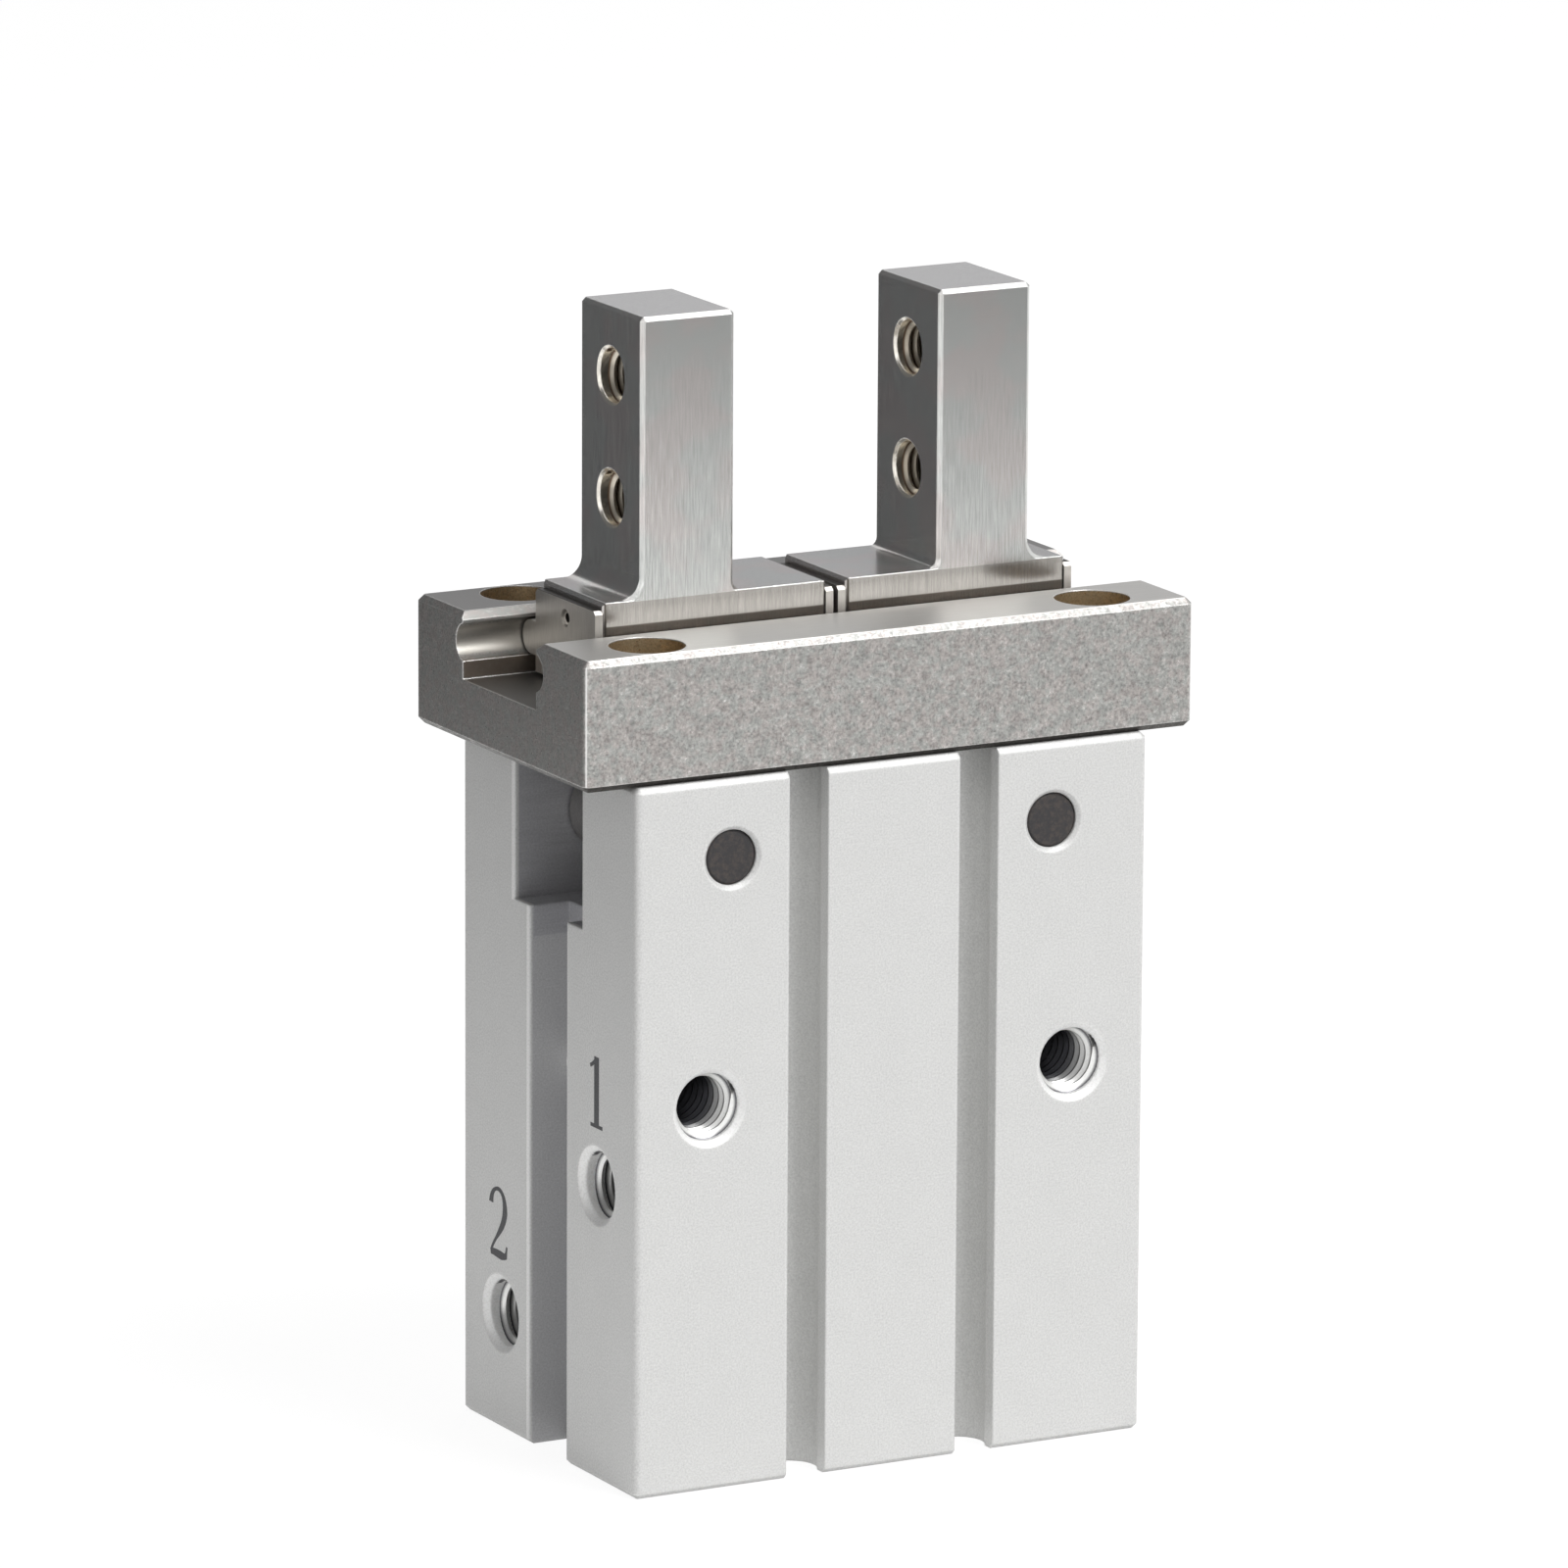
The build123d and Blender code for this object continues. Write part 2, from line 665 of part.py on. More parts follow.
def make_finger():
    """Right-hand finger and its carriage, one piece of hardened steel."""
    carriage = Pos(carriage_start, 0, 0) * extrude(carriage_profile(), carriage_length)
    neck_edges = carriage.edges().filter_by(Plane.YZ)
    neck_edges = neck_edges.filter_by(lambda edge: edge.center().Z > carriage_neck)
    carriage = chamfer(neck_edges, carriage_edge_chamfer)
    finger = extrude(finger_profile(), finger_depth / 2, both=True)
    top_face = finger.faces().sort_by(Axis.Z)[-1]
    tall_edges = finger.edges().filter_by(Axis.Z)
    tall_edges = tall_edges.filter_by(lambda edge: edge.length > finger_height / 2)
    finger = chamfer(top_face.edges() + tall_edges, finger_edge_chamfer)
    piece = carriage + finger
    piece -= front_and_back(ball_groove())
    slot_half = lever_head_diameter / 2 + lever_clearance
    slot_y = lever_thickness / 2 + 3 * lever_clearance
    slot_top = pin_height + lever_reach + lever_head_diameter / 2 + 2 * lever_clearance
    piece -= block(head_x - slot_half, head_x + slot_half, -slot_y, slot_y, carriage_bottom - 1, slot_top)
    for step in range(2):
        z = finger_top - finger_hole_from_tip - step * finger_hole_pitch
        piece -= along_x(finger_thread, finger_inner - 1, finger_outer + 1, 0, z)
        piece -= countersink((finger_inner, 0, z), finger_thread, finger_hole_chamfer, "-X")
        piece -= countersink((finger_outer, 0, z), finger_thread, finger_hole_chamfer, "+X")
    pin_z = carriage_top - plate_pin_drop
    inner_end = (carriage_start - 1, carriage_start + plate_pin_length)
    outer_end = (carriage_end - plate_pin_length, carriage_end + 1)
    for x0, x1 in (inner_end, outer_end):
        piece -= along_x(plate_pin_diameter + 2 * fit_clearance, x0, x1, 0, pin_z)
    return piece


def make_steel_balls():
    """Two rows of balls, one in each race."""
    balls = []
    for number in range(balls_per_row):
        x = carriage_centre + (number - (balls_per_row - 1) / 2) * ball_pitch
        for y in (-ball_y, ball_y):
            balls.append(Pos(x, y, ball_height) * Sphere(ball_diameter / 2))
    return Compound(balls)


def make_end_plate(face_x, outward):
    """Thin plate across a carriage end, with an ear in each race that keeps the balls in."""
    neck = finger_depth / 2 - plate_side_space
    top = carriage_top - plate_top_drop
    points = [(-neck, carriage_bottom), (neck, carriage_bottom), (neck, top - plate_corner),
              (neck - plate_corner, top), (plate_corner - neck, top), (-neck, top - plate_corner)]
    plate = Plane.YZ * make_face(Polyline(*points, close=True))
    for side in (-1, 1):
        ear = Pos(side * ball_y, ball_height) * Circle(plate_ear_radius)
        web = Pos(side * ball_y / 2, ball_height) * Rectangle(ball_y, 2 * plate_ear_radius)
        plate += Plane.YZ * (ear + web)
    plate = extrude(plate, outward * plate_thickness)
    pin_z = carriage_top - plate_pin_drop
    plate -= along_x(plate_pin_diameter + 2 * fit_clearance, -1, 1, 0, pin_z)
    return Pos(face_x, 0, 0) * plate


def make_plate_pins():
    """Hollow spring pins that hold the two end plates of one carriage."""
    pin_z = carriage_top - plate_pin_drop
    reach = plate_pin_length - plate_pin_end_space
    proud = plate_thickness - plate_pin_recess
    pins = []
    inner_end = (carriage_start - proud, carriage_start + reach)
    outer_end = (carriage_end - reach, carriage_end + proud)
    for x0, x1 in (inner_end, outer_end):
        pin = along_x(plate_pin_diameter, x0, x1, 0, pin_z)
        pins.append(pin - along_x(plate_pin_hole, x0 - 1, x1 + 1, 0, pin_z))
    return Compound(pins)


def left_and_right(name, piece):
    """One node for the right-hand piece, and one for its mirror image."""
    return {name + "_left": mirror(piece, about=Plane.YZ), name + "_right": piece}


nodes = {
    "body_block": make_body_block(),
    "guide_rail": make_guide_rail(),
    "rail_screws": make_rail_screws(),
    "head_cap": make_head_cap(),
    "cap_gasket": make_cap_gasket(),
    "retaining_ring": make_retaining_ring(),
    "cap_bumper": make_cap_bumper(),
    "rod_bush": make_rod_bush(),
    "rod_seal": make_rod_seal(),
    "seal_retainer": make_seal_retainer(),
    "lever_pins": make_lever_pins(),
    "pin_plugs": make_pin_plugs(),
    "piston": make_piston(),
    "piston_seal": make_piston_seal(),
    "magnet_ring": make_piston_ring(magnet_base, magnet_height),
    "piston_rod": make_piston_rod(),
    "piston_screw": make_piston_screw(),
    "rod_joint": make_rod_joint(),
    "joint_rollers": make_joint_rollers(),
}
nodes.update(left_and_right("lever", make_lever()))
nodes.update(left_and_right("finger", make_finger()))
nodes.update(left_and_right("outer_end_plate", make_end_plate(carriage_end, 1)))
nodes.update(left_and_right("inner_end_plate", make_end_plate(carriage_start, -1)))
nodes.update(left_and_right("steel_balls", make_steel_balls()))
nodes.update(left_and_right("plate_pins", make_plate_pins()))

os.makedirs("parts", exist_ok=True)
for name, piece in nodes.items():
    export_step(piece, f"parts/{name}.step")

print(f"piston stroke {piston_stroke:.4f} mm, lever swing {math.degrees(2 * half_swing):.4f} degrees")
print(f"chamber top {chamber_top:.3f}, joint bottom {joint_bottom:.3f}, well floor {well_floor:.3f}")
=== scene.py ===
import bpy
import bmesh
import json
import math
from mathutils import Matrix, Vector


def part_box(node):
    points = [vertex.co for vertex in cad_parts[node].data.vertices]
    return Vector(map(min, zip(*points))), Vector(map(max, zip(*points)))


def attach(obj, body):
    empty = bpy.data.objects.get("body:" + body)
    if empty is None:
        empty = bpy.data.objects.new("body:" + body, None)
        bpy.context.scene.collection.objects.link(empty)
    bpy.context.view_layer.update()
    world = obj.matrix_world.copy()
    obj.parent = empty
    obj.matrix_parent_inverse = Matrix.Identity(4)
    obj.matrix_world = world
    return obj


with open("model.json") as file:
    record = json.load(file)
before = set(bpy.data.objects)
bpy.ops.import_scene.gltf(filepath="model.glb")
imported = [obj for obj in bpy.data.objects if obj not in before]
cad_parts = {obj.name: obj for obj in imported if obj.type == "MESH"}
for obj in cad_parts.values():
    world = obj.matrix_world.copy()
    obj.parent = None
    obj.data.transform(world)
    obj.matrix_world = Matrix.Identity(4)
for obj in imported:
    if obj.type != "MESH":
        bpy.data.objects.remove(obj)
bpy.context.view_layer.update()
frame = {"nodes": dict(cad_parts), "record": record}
mm = 0.001
bodyLow, bodyHigh = (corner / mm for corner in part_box("body_block"))
railLow, railHigh = (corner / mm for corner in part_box("guide_rail"))
fingerLow, fingerHigh = (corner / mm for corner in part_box("finger_right"))
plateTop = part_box("outer_end_plate_right")[1].z / mm
windowLow, windowHigh = (Vector(corner) / mm for opening in frame["record"]["physics"]["openings"]
                         if opening["name"] == "right_window" for corner in opening["box_m"])
print("frame loaded")


# Camera: a long lens from the front left, a little above

cameraLook = {
    "azimuth": -28.30,        # degrees, minus is to the left
    "elevation": 12.81,
    "roll": 0.308,
    "distance": 870.3,        # mm from the target
    "target": (-1.65, 0.0, 48.36),
    "focalPixels": 12143.0,   # focal length in pixels of the picture
    "pictureWidth": 1600,
    "sensorWidth": 36.0,
    "near": 0.05,             # metres
    "far": 50.0,
}


def makeCamera(look):
    azimuth = math.radians(look["azimuth"])
    elevation = math.radians(look["elevation"])
    back = Vector((math.sin(azimuth) * math.cos(elevation),
                   -math.cos(azimuth) * math.cos(elevation),
                   math.sin(elevation)))
    data = bpy.data.cameras.new("camera")
    data.sensor_width = look["sensorWidth"]
    data.lens = look["focalPixels"] / look["pictureWidth"] * look["sensorWidth"]
    data.clip_start = look["near"]
    data.clip_end = look["far"]
    camera = bpy.data.objects.new("camera", data)
    bpy.context.scene.collection.objects.link(camera)
    camera.location = Vector(look["target"]) * mm + back * look["distance"] * mm
    turn = (-back).to_track_quat("-Z", "Y").to_matrix().to_4x4()
    tilt = Matrix.Rotation(math.radians(look["roll"]), 4, "Z")
    camera.rotation_mode = "QUATERNION"
    camera.rotation_quaternion = (turn @ tilt).to_quaternion()
    bpy.context.scene.camera = camera


makeCamera(cameraLook)
bpy.context.scene.view_settings.view_transform = "Standard"
print("camera placed")


# Small helpers for shader trees

def addNode(tree, kind, **settings):
    node = tree.nodes.new("ShaderNode" + kind)
    for name, value in settings.items():
        setattr(node, name, value)
    return node


def feed(tree, source, socket):
    if isinstance(source, bpy.types.NodeSocket):
        tree.links.new(source, socket)
    else:
        socket.default_value = source


def maths(tree, operation, first, second=0.0, clamp=False):
    node = addNode(tree, "Math", operation=operation, use_clamp=clamp)
    feed(tree, first, node.inputs[0])
    feed(tree, second, node.inputs[1])
    return node.outputs[0]


def vectorMaths(tree, operation, first, second=(0.0, 0.0, 0.0)):
    node = addNode(tree, "VectorMath", operation=operation)
    feed(tree, first, node.inputs[0])
    feed(tree, second, node.inputs[1])
    return node.outputs["Value"] if operation == "DOT_PRODUCT" else node.outputs["Vector"]


def remap(tree, value, low, high, newLow=0.0, newHigh=1.0):
    node = addNode(tree, "MapRange", interpolation_type="SMOOTHSTEP")
    for source, socket in zip((value, low, high, newLow, newHigh), node.inputs):
        feed(tree, source, socket)
    return node.outputs["Result"]


def mixColours(tree, amount, first, second, mode="MIX"):
    # The node's colours are its sockets 6 and 7, and the mixed one comes out of 2
    node = addNode(tree, "Mix", data_type="RGBA", blend_type=mode)
    feed(tree, amount, node.inputs["Factor"])
    feed(tree, first, node.inputs[6])
    feed(tree, second, node.inputs[7])
    return node.outputs[2]


def pointInMm(tree):
    place = addNode(tree, "TexCoord")
    return vectorMaths(tree, "MULTIPLY", place.outputs["Object"], (1000.0, 1000.0, 1000.0))


def startGroup(name, inputs, outputs):
    group = bpy.data.node_groups.new(name, "ShaderNodeTree")
    for label, kind, value in inputs:
        socket = group.interface.new_socket(label, in_out="INPUT", socket_type="NodeSocket" + kind)
        socket.default_value = value
    for label, kind in outputs:
        group.interface.new_socket(label, in_out="OUTPUT", socket_type="NodeSocket" + kind)
    return group, group.nodes.new("NodeGroupInput").outputs, group.nodes.new("NodeGroupOutput").inputs


def placeGroup(tree, group, **values):
    node = tree.nodes.new("ShaderNodeGroup")
    node.node_tree = group
    for label, value in values.items():
        feed(tree, value, node.inputs[label])
    return node.outputs


# Shared effects, each built once

def makeGrain():
    # Fine grain; stretch draws it out into lines along one axis
    group, inputs, outputs = startGroup(
        "grain",
        [("size", "Float", 0.1), ("stretch", "Vector", (1.0, 1.0, 1.0)), ("amount", "Float", 0.1)],
        [("tone", "Float"), ("height", "Float")])
    point = vectorMaths(group, "MULTIPLY", pointInMm(group), inputs["stretch"])
    noise = addNode(group, "TexNoise")
    feed(group, point, noise.inputs["Vector"])
    feed(group, maths(group, "DIVIDE", 1.0, inputs["size"]), noise.inputs["Scale"])
    noise.inputs["Detail"].default_value = 3.0
    noise.inputs["Roughness"].default_value = 0.6
    swing = maths(group, "MULTIPLY", maths(group, "SUBTRACT", noise.outputs["Fac"], 0.5), 4.0)
    feed(group, maths(group, "ADD", maths(group, "MULTIPLY", swing, inputs["amount"]), 1.0), outputs["tone"])
    feed(group, noise.outputs["Fac"], outputs["height"])
    return group


def makePatches():
    # Uneven patches, as on hardened steel, with a warm and a cool side
    group, inputs, outputs = startGroup(
        "patches",
        [("size", "Float", 0.5), ("amount", "Float", 0.1), ("seed", "Float", 0.0)],
        [("tone", "Float"), ("mask", "Float"), ("tint", "Color")])
    noise = addNode(group, "TexNoise", noise_dimensions="4D")
    feed(group, pointInMm(group), noise.inputs["Vector"])
    feed(group, inputs["seed"], noise.inputs["W"])
    feed(group, maths(group, "DIVIDE", 1.0, inputs["size"]), noise.inputs["Scale"])
    noise.inputs["Detail"].default_value = 4.0
    noise.inputs["Roughness"].default_value = 0.65
    swing = maths(group, "MULTIPLY", maths(group, "SUBTRACT", noise.outputs["Fac"], 0.5), 4.0)
    feed(group, maths(group, "ADD", maths(group, "MULTIPLY", swing, inputs["amount"]), 1.0), outputs["tone"])
    feed(group, remap(group, noise.outputs["Fac"], 0.42, 0.62), outputs["mask"])
    hue = addNode(group, "TexNoise", noise_dimensions="4D")
    feed(group, pointInMm(group), hue.inputs["Vector"])
    feed(group, maths(group, "ADD", inputs["seed"], 7.0), hue.inputs["W"])
    feed(group, maths(group, "DIVIDE", 0.8, inputs["size"]), hue.inputs["Scale"])
    warm = (1.03, 0.99, 0.98, 1.0)
    cool = (0.98, 1.01, 1.0, 1.0)
    feed(group, mixColours(group, remap(group, hue.outputs["Fac"], 0.4, 0.6), cool, warm), outputs["tint"])
    return group


def makeEdgeWearAndHighlight():
    # Mask of the edges, broken up a little, for edge wear and painted highlight, and a normal that rounds
    # them
    group, inputs, outputs = startGroup(
        "edge wear and painted highlight",
        [("width", "Float", 0.0002), ("breakup", "Float", 0.3)],
        [("mask", "Float"), ("normal", "Vector")])
    bevel = addNode(group, "Bevel", samples=4)
    feed(group, inputs["width"], bevel.inputs["Radius"])
    surface = addNode(group, "NewGeometry")
    facing = vectorMaths(group, "DOT_PRODUCT", bevel.outputs["Normal"], surface.outputs["Normal"])
    edge = remap(group, maths(group, "SUBTRACT", 1.0, facing), 0.01, 0.12)
    noise = addNode(group, "TexNoise")
    feed(group, pointInMm(group), noise.inputs["Vector"])
    noise.inputs["Scale"].default_value = 1.6
    noise.inputs["Detail"].default_value = 3.0
    loss = maths(group, "MULTIPLY", remap(group, noise.outputs["Fac"], 0.45, 0.65), inputs["breakup"])
    feed(group, maths(group, "MULTIPLY", edge, maths(group, "SUBTRACT", 1.0, loss)), outputs["mask"])
    feed(group, bevel.outputs["Normal"], outputs["normal"])
    return group


def makeCreviceDirtAndShade():
    # Mask of deep corners and holes, for the oil and dust that gather there and for painted shade
    group, inputs, outputs = startGroup(
        "creviceDirtAndShade", [("reach", "Float", 0.001), ("start", "Float", 0.35)], [("mask", "Float")])
    shade = addNode(group, "AmbientOcclusion", samples=4)
    feed(group, inputs["reach"], shade.inputs["Distance"])
    closed = maths(group, "SUBTRACT", 1.0, shade.outputs["AO"])
    feed(group, remap(group, closed, inputs["start"], 1.0), outputs["mask"])
    return group


def blend(tree, share, value, other):
    # The value, or the other one where share is 1
    kept = maths(tree, "MULTIPLY", maths(tree, "SUBTRACT", 1.0, share), value)
    return maths(tree, "ADD", kept, maths(tree, "MULTIPLY", share, other))


def mirroredPoint(tree, mirror):
    # The point in mm, folded over the middle along each axis where mirror is 1
    point = pointInMm(tree)
    change = vectorMaths(tree, "SUBTRACT", vectorMaths(tree, "ABSOLUTE", point), point)
    return vectorMaths(tree, "ADD", point, vectorMaths(tree, "MULTIPLY", change, mirror))


def makeZone():
    # Mask of a box in millimetres, mirrored in X and in Y about the middle unless told otherwise
    group, inputs, outputs = startGroup(
        "zone",
        [("low", "Vector", (0.0, 0.0, 0.0)), ("high", "Vector", (1.0, 1.0, 1.0)),
         ("mirror", "Vector", (1.0, 1.0, 0.0)), ("blur", "Float", 0.1)],
        [("mask", "Float")])
    point = mirroredPoint(group, inputs["mirror"])
    below = vectorMaths(group, "SUBTRACT", inputs["low"], point)
    above = vectorMaths(group, "SUBTRACT", point, inputs["high"])
    outside = addNode(group, "SeparateXYZ")
    feed(group, vectorMaths(group, "MAXIMUM", below, above), outside.inputs[0])
    worst = maths(group, "MAXIMUM", outside.outputs[0],
                  maths(group, "MAXIMUM", outside.outputs[1], outside.outputs[2]))
    feed(group, remap(group, worst, 0.0, inputs["blur"], 1.0, 0.0), outputs["mask"])
    return group


def makeBore():
    # Mask of a hole and its bevelled mouth. Along the hole the scale is 0, or small where the mask
    # ends inside. Mirror is 1 along an axis where the hole has a twin on the other side
    group, inputs, outputs = startGroup(
        "bore",
        [("centre", "Vector", (0.0, 0.0, 0.0)), ("scale", "Vector", (1.0, 0.0, 1.0)),
         ("mirror", "Vector", (0.0, 0.0, 0.0)), ("radius", "Float", 1.0)],
        [("mask", "Float")])
    point = mirroredPoint(group, inputs["mirror"])
    offset = vectorMaths(group, "SUBTRACT", point, inputs["centre"])
    offset = vectorMaths(group, "MULTIPLY", offset, inputs["scale"])
    away = maths(group, "SQRT", vectorMaths(group, "DOT_PRODUCT", offset, offset))
    beyond = maths(group, "SUBTRACT", away, inputs["radius"])
    feed(group, remap(group, beyond, -0.02, 0.02, 1.0, 0.0), outputs["mask"])
    return group


grain = makeGrain()
patches = makePatches()
edgeWearAndHighlight = makeEdgeWearAndHighlight()
creviceDirtAndShade = makeCreviceDirtAndShade()
zone = makeZone()
bore = makeBore()
print("shared effects built")


# Tapped holes, as in the CAD, in mm

mountThreads = {"spacing": 30.0, "height": 28.6, "diameter": 5.0, "pitch": 0.8, "depth": 9.9, "bevel": 0.45}
portThreads = {"offset": 7.65, "close": 22.1, "open": 8.8, "diameter": 5.0, "pitch": 0.8, "depth": 5.4,
               "bevel": 0.45}
baseThreads = {"spacingX": 32.0, "spacingY": 18.0, "diameter": 4.0, "pitch": 0.7, "depth": 5.4, "bevel": 0.3}
fingerThreads = {"inner": 8.4, "outer": 16.0, "heights": {"upper": 80.0, "lower": 71.0},
                 "diameter": 4.0, "pitch": 0.7, "bevel": 0.2}


def mouthRadius(threads):
    return threads["diameter"] / 2 + threads["bevel"]


# Materials

def startMaterial(name, look):
    material = bpy.data.materials.new(name)
    material.use_nodes = True
    tree = material.node_tree
    tree.nodes.clear()
    shader = addNode(tree, "BsdfPrincipled")
    shader.inputs["Metallic"].default_value = look["metallic"]
    output = addNode(tree, "OutputMaterial")
    tree.links.new(shader.outputs["BSDF"], output.inputs["Surface"])
    return material, tree, shader


def solidColour(rgb):
    return (*rgb, 1.0)


def grey(tree, value):
    node = addNode(tree, "CombineColor")
    for socket in node.inputs:
        feed(tree, value, socket)
    return node.outputs[0]


def finishSurface(tree, shader, look, colour, tone, height, normal=None):
    # Tone darkens the colour and roughens the surface; height makes the bump
    feed(tree, mixColours(tree, 1.0, colour, grey(tree, tone), "MULTIPLY"), shader.inputs["Base Color"])
    rough = maths(tree, "MULTIPLY", maths(tree, "SUBTRACT", 2.0, tone), look["roughness"], clamp=True)
    feed(tree, rough, shader.inputs["Roughness"])
    bump = addNode(tree, "Bump")
    bump.inputs["Strength"].default_value = look.get("bumpStrength", 0.4)
    bump.inputs["Distance"].default_value = look["bumpDepth"] * mm
    feed(tree, height, bump.inputs["Height"])
    if normal:
        feed(tree, normal, bump.inputs["Normal"])
    feed(tree, bump.outputs["Normal"], shader.inputs["Normal"])


bodyLook = {
    "colour": (0.735, 0.735, 0.725), "edge": (0.95, 0.95, 0.94), "milledAndShaded": (0.48, 0.48, 0.50),
    "cut": (0.97, 0.97, 0.96), "groove": (0.57, 0.57, 0.58),
    "metallic": 0.30, "roughness": 0.50,
    "grainSize": 0.15, "grainAmount": 0.15, "patchSize": 2.5, "patchAmount": 0.02,
    "edgeWidth": 0.0003, "bumpDepth": 0.025,
    "grooveHalfWidth": 3.0, "grooveDepth": 3.4, "slotHalfWidth": 5.4,  # mm
    "bevelWidth": 0.42,  # mm, painted highlight along the back edges of the side groove and the slot
    "slotDrop": 2.5, "slotWiden": 0.32,  # mm that the milled finish and its painted shade reach past the window
    "cutterSize": 0.25, "cutterAmount": 0.08,
    "dirtAndShade": (0.16, 0.155, 0.15), "dirtAndShadeReach": 0.0012, "dirtAndShadeStart": 0.45, "dirtAndShadeAmount": 0.35,
    "portMouthReach": 0.45,  # how soon the painted highlight ends inside an air port
}


def makeBodyMaterial(look):
    # Extruded aluminium, blasted and clear anodised; the lever slot is milled afterwards, and its colour
    # there carries painted shade
    material, tree, shader = startMaterial("blasted aluminium", look)
    fine = placeGroup(tree, grain, size=look["grainSize"], amount=look["grainAmount"])
    broad = placeGroup(tree, patches, size=look["patchSize"], amount=look["patchAmount"])
    litWornEdges = placeGroup(tree, edgeWearAndHighlight, width=look["edgeWidth"], breakup=0.15)
    # Painted shade: the inside of the side groove is darker
    groove = placeGroup(tree, zone, low=(bodyHigh.x - look["grooveDepth"], -1.0, -1.0),
                        high=(bodyHigh.x - 0.3, look["grooveHalfWidth"] - 0.02, windowLow.z), blur=0.1)
    colour = mixColours(tree, groove["mask"], solidColour(look["colour"]), solidColour(look["groove"]))
    # Painted highlight on the edges, with some wear, and on the back edges of the side groove and the slot
    bright = litWornEdges["mask"]
    for start, low, high in ((look["grooveHalfWidth"], bodyLow.z, windowLow.z - 0.3),
                             (look["slotHalfWidth"], windowLow.z - 0.3, bodyHigh.z)):
        line = placeGroup(tree, zone, low=(bodyHigh.x - 0.05, start - 0.02, low), mirror=(1.0, 0.0, 0.0),
                          high=(bodyHigh.x + 1, start + look["bevelWidth"], high), blur=0.08)
        bright = maths(tree, "MAXIMUM", bright, line["mask"])
    colour = mixColours(tree, bright, colour, solidColour(look["edge"]))
    # The milled slot: tool marks, and painted shade darkening its colour
    slot = placeGroup(tree, zone, low=(-1.0, -1.0, windowLow.z - look["slotDrop"]), blur=0.12,
                      high=(bodyHigh.x - 0.4, windowHigh.y + look["slotWiden"], bodyHigh.z + 0.2))
    cutterLines = placeGroup(tree, grain, size=look["cutterSize"], stretch=(0.06, 1.0, 1.0),
                             amount=look["cutterAmount"])
    milledAndShaded = mixColours(tree, 1.0, solidColour(look["milledAndShaded"]), grey(tree, cutterLines["tone"]), "MULTIPLY")
    colour = mixColours(tree, slot["mask"], colour, milledAndShaded)
    # Dirt and painted shade darken the corners and holes
    dirtAndShade = placeGroup(tree, creviceDirtAndShade, reach=look["dirtAndShadeReach"], start=look["dirtAndShadeStart"])
    soiledAndShaded = maths(tree, "MULTIPLY", dirtAndShade["mask"], look["dirtAndShadeAmount"])
    colour = mixColours(tree, soiledAndShaded, colour, solidColour(look["dirtAndShade"]))
    # Painted highlight on the bevelled mouths of the mounting holes and air ports
    litMouths = placeGroup(tree, bore, centre=(mountThreads["spacing"] / 2, 0.0, mountThreads["height"]),
                        mirror=(1.0, 0.0, 0.0), radius=mouthRadius(mountThreads))["mask"]
    for port, side in (("close", -1), ("open", 1)):
        mouth = placeGroup(tree, bore, centre=(bodyLow.x, side * portThreads["offset"], portThreads[port]),
                           scale=(look["portMouthReach"], 1.0, 1.0), radius=mouthRadius(portThreads))
        litMouths = maths(tree, "MAXIMUM", litMouths, mouth["mask"])
    colour = mixColours(tree, litMouths, colour, solidColour(look["cut"]))
    tone = maths(tree, "MULTIPLY", fine["tone"], broad["tone"])
    finishSurface(tree, shader, look, colour, tone, fine["height"], litWornEdges["normal"])
    return material


railLook = {
    "colour": (0.41, 0.40, 0.388), "fleck": (0.64, 0.62, 0.60), "edge": (0.90, 0.89, 0.87),
    # The rear land's darker colour is a painted reflection; the channel floor and foot colours are painted
    # shade
    "top": (0.56, 0.55, 0.53), "rearLandReflection": (0.24, 0.235, 0.23), "floor": (0.12, 0.115, 0.11),
    "oil": (0.46, 0.34, 0.19), "race": (0.46, 0.44, 0.40), "stain": (0.22, 0.17, 0.13),
    "foot": (0.07, 0.066, 0.06),
    "metallic": 0.85, "roughness": 0.40,
    "grainSize": 0.20, "grainAmount": 0.40, "patchSize": 0.55, "patchAmount": 0.34, "fleckSize": 0.32,
    "edgeWidth": 0.00013, "bumpDepth": 0.04,
    "fleckAmount": 0.35, "groundSize": 0.08, "groundAmount": 0.06, "stripAmount": 0.8, "oilAmount": 0.85,
}

# Places on the rail, in mm
railPlaces = {
    "channelHalfWidth": 5.85, "grooveReach": 1.15,
    "raceDrop": (3.2, 1.2), "stainDrop": (4.8, 3.6), "floorDrop": 4.95,  # below the top
    "stainReach": 0.2, "calmReach": 0.45,  # into the wall
    "holeCentre": (18.3, 10.15), "holeReach": 2.85,
    "footHeight": 0.43, "cornerWidth": 0.18,
    "endChamfer": 0.15,
}


railEnd = railHigh.x - railPlaces["endChamfer"]


def mottleRail(tree, look, tint):
    # Warm and cool patches with a few light scuffs
    colour = mixColours(tree, 1.0, solidColour(look["colour"]), tint, "MULTIPLY")
    scuffs = placeGroup(tree, patches, size=look["fleckSize"], seed=5.0)
    flecks = maths(tree, "MULTIPLY", remap(tree, scuffs["mask"], 0.75, 1.0), look["fleckAmount"])
    return mixColours(tree, flecks, colour, solidColour(look["fleck"]))


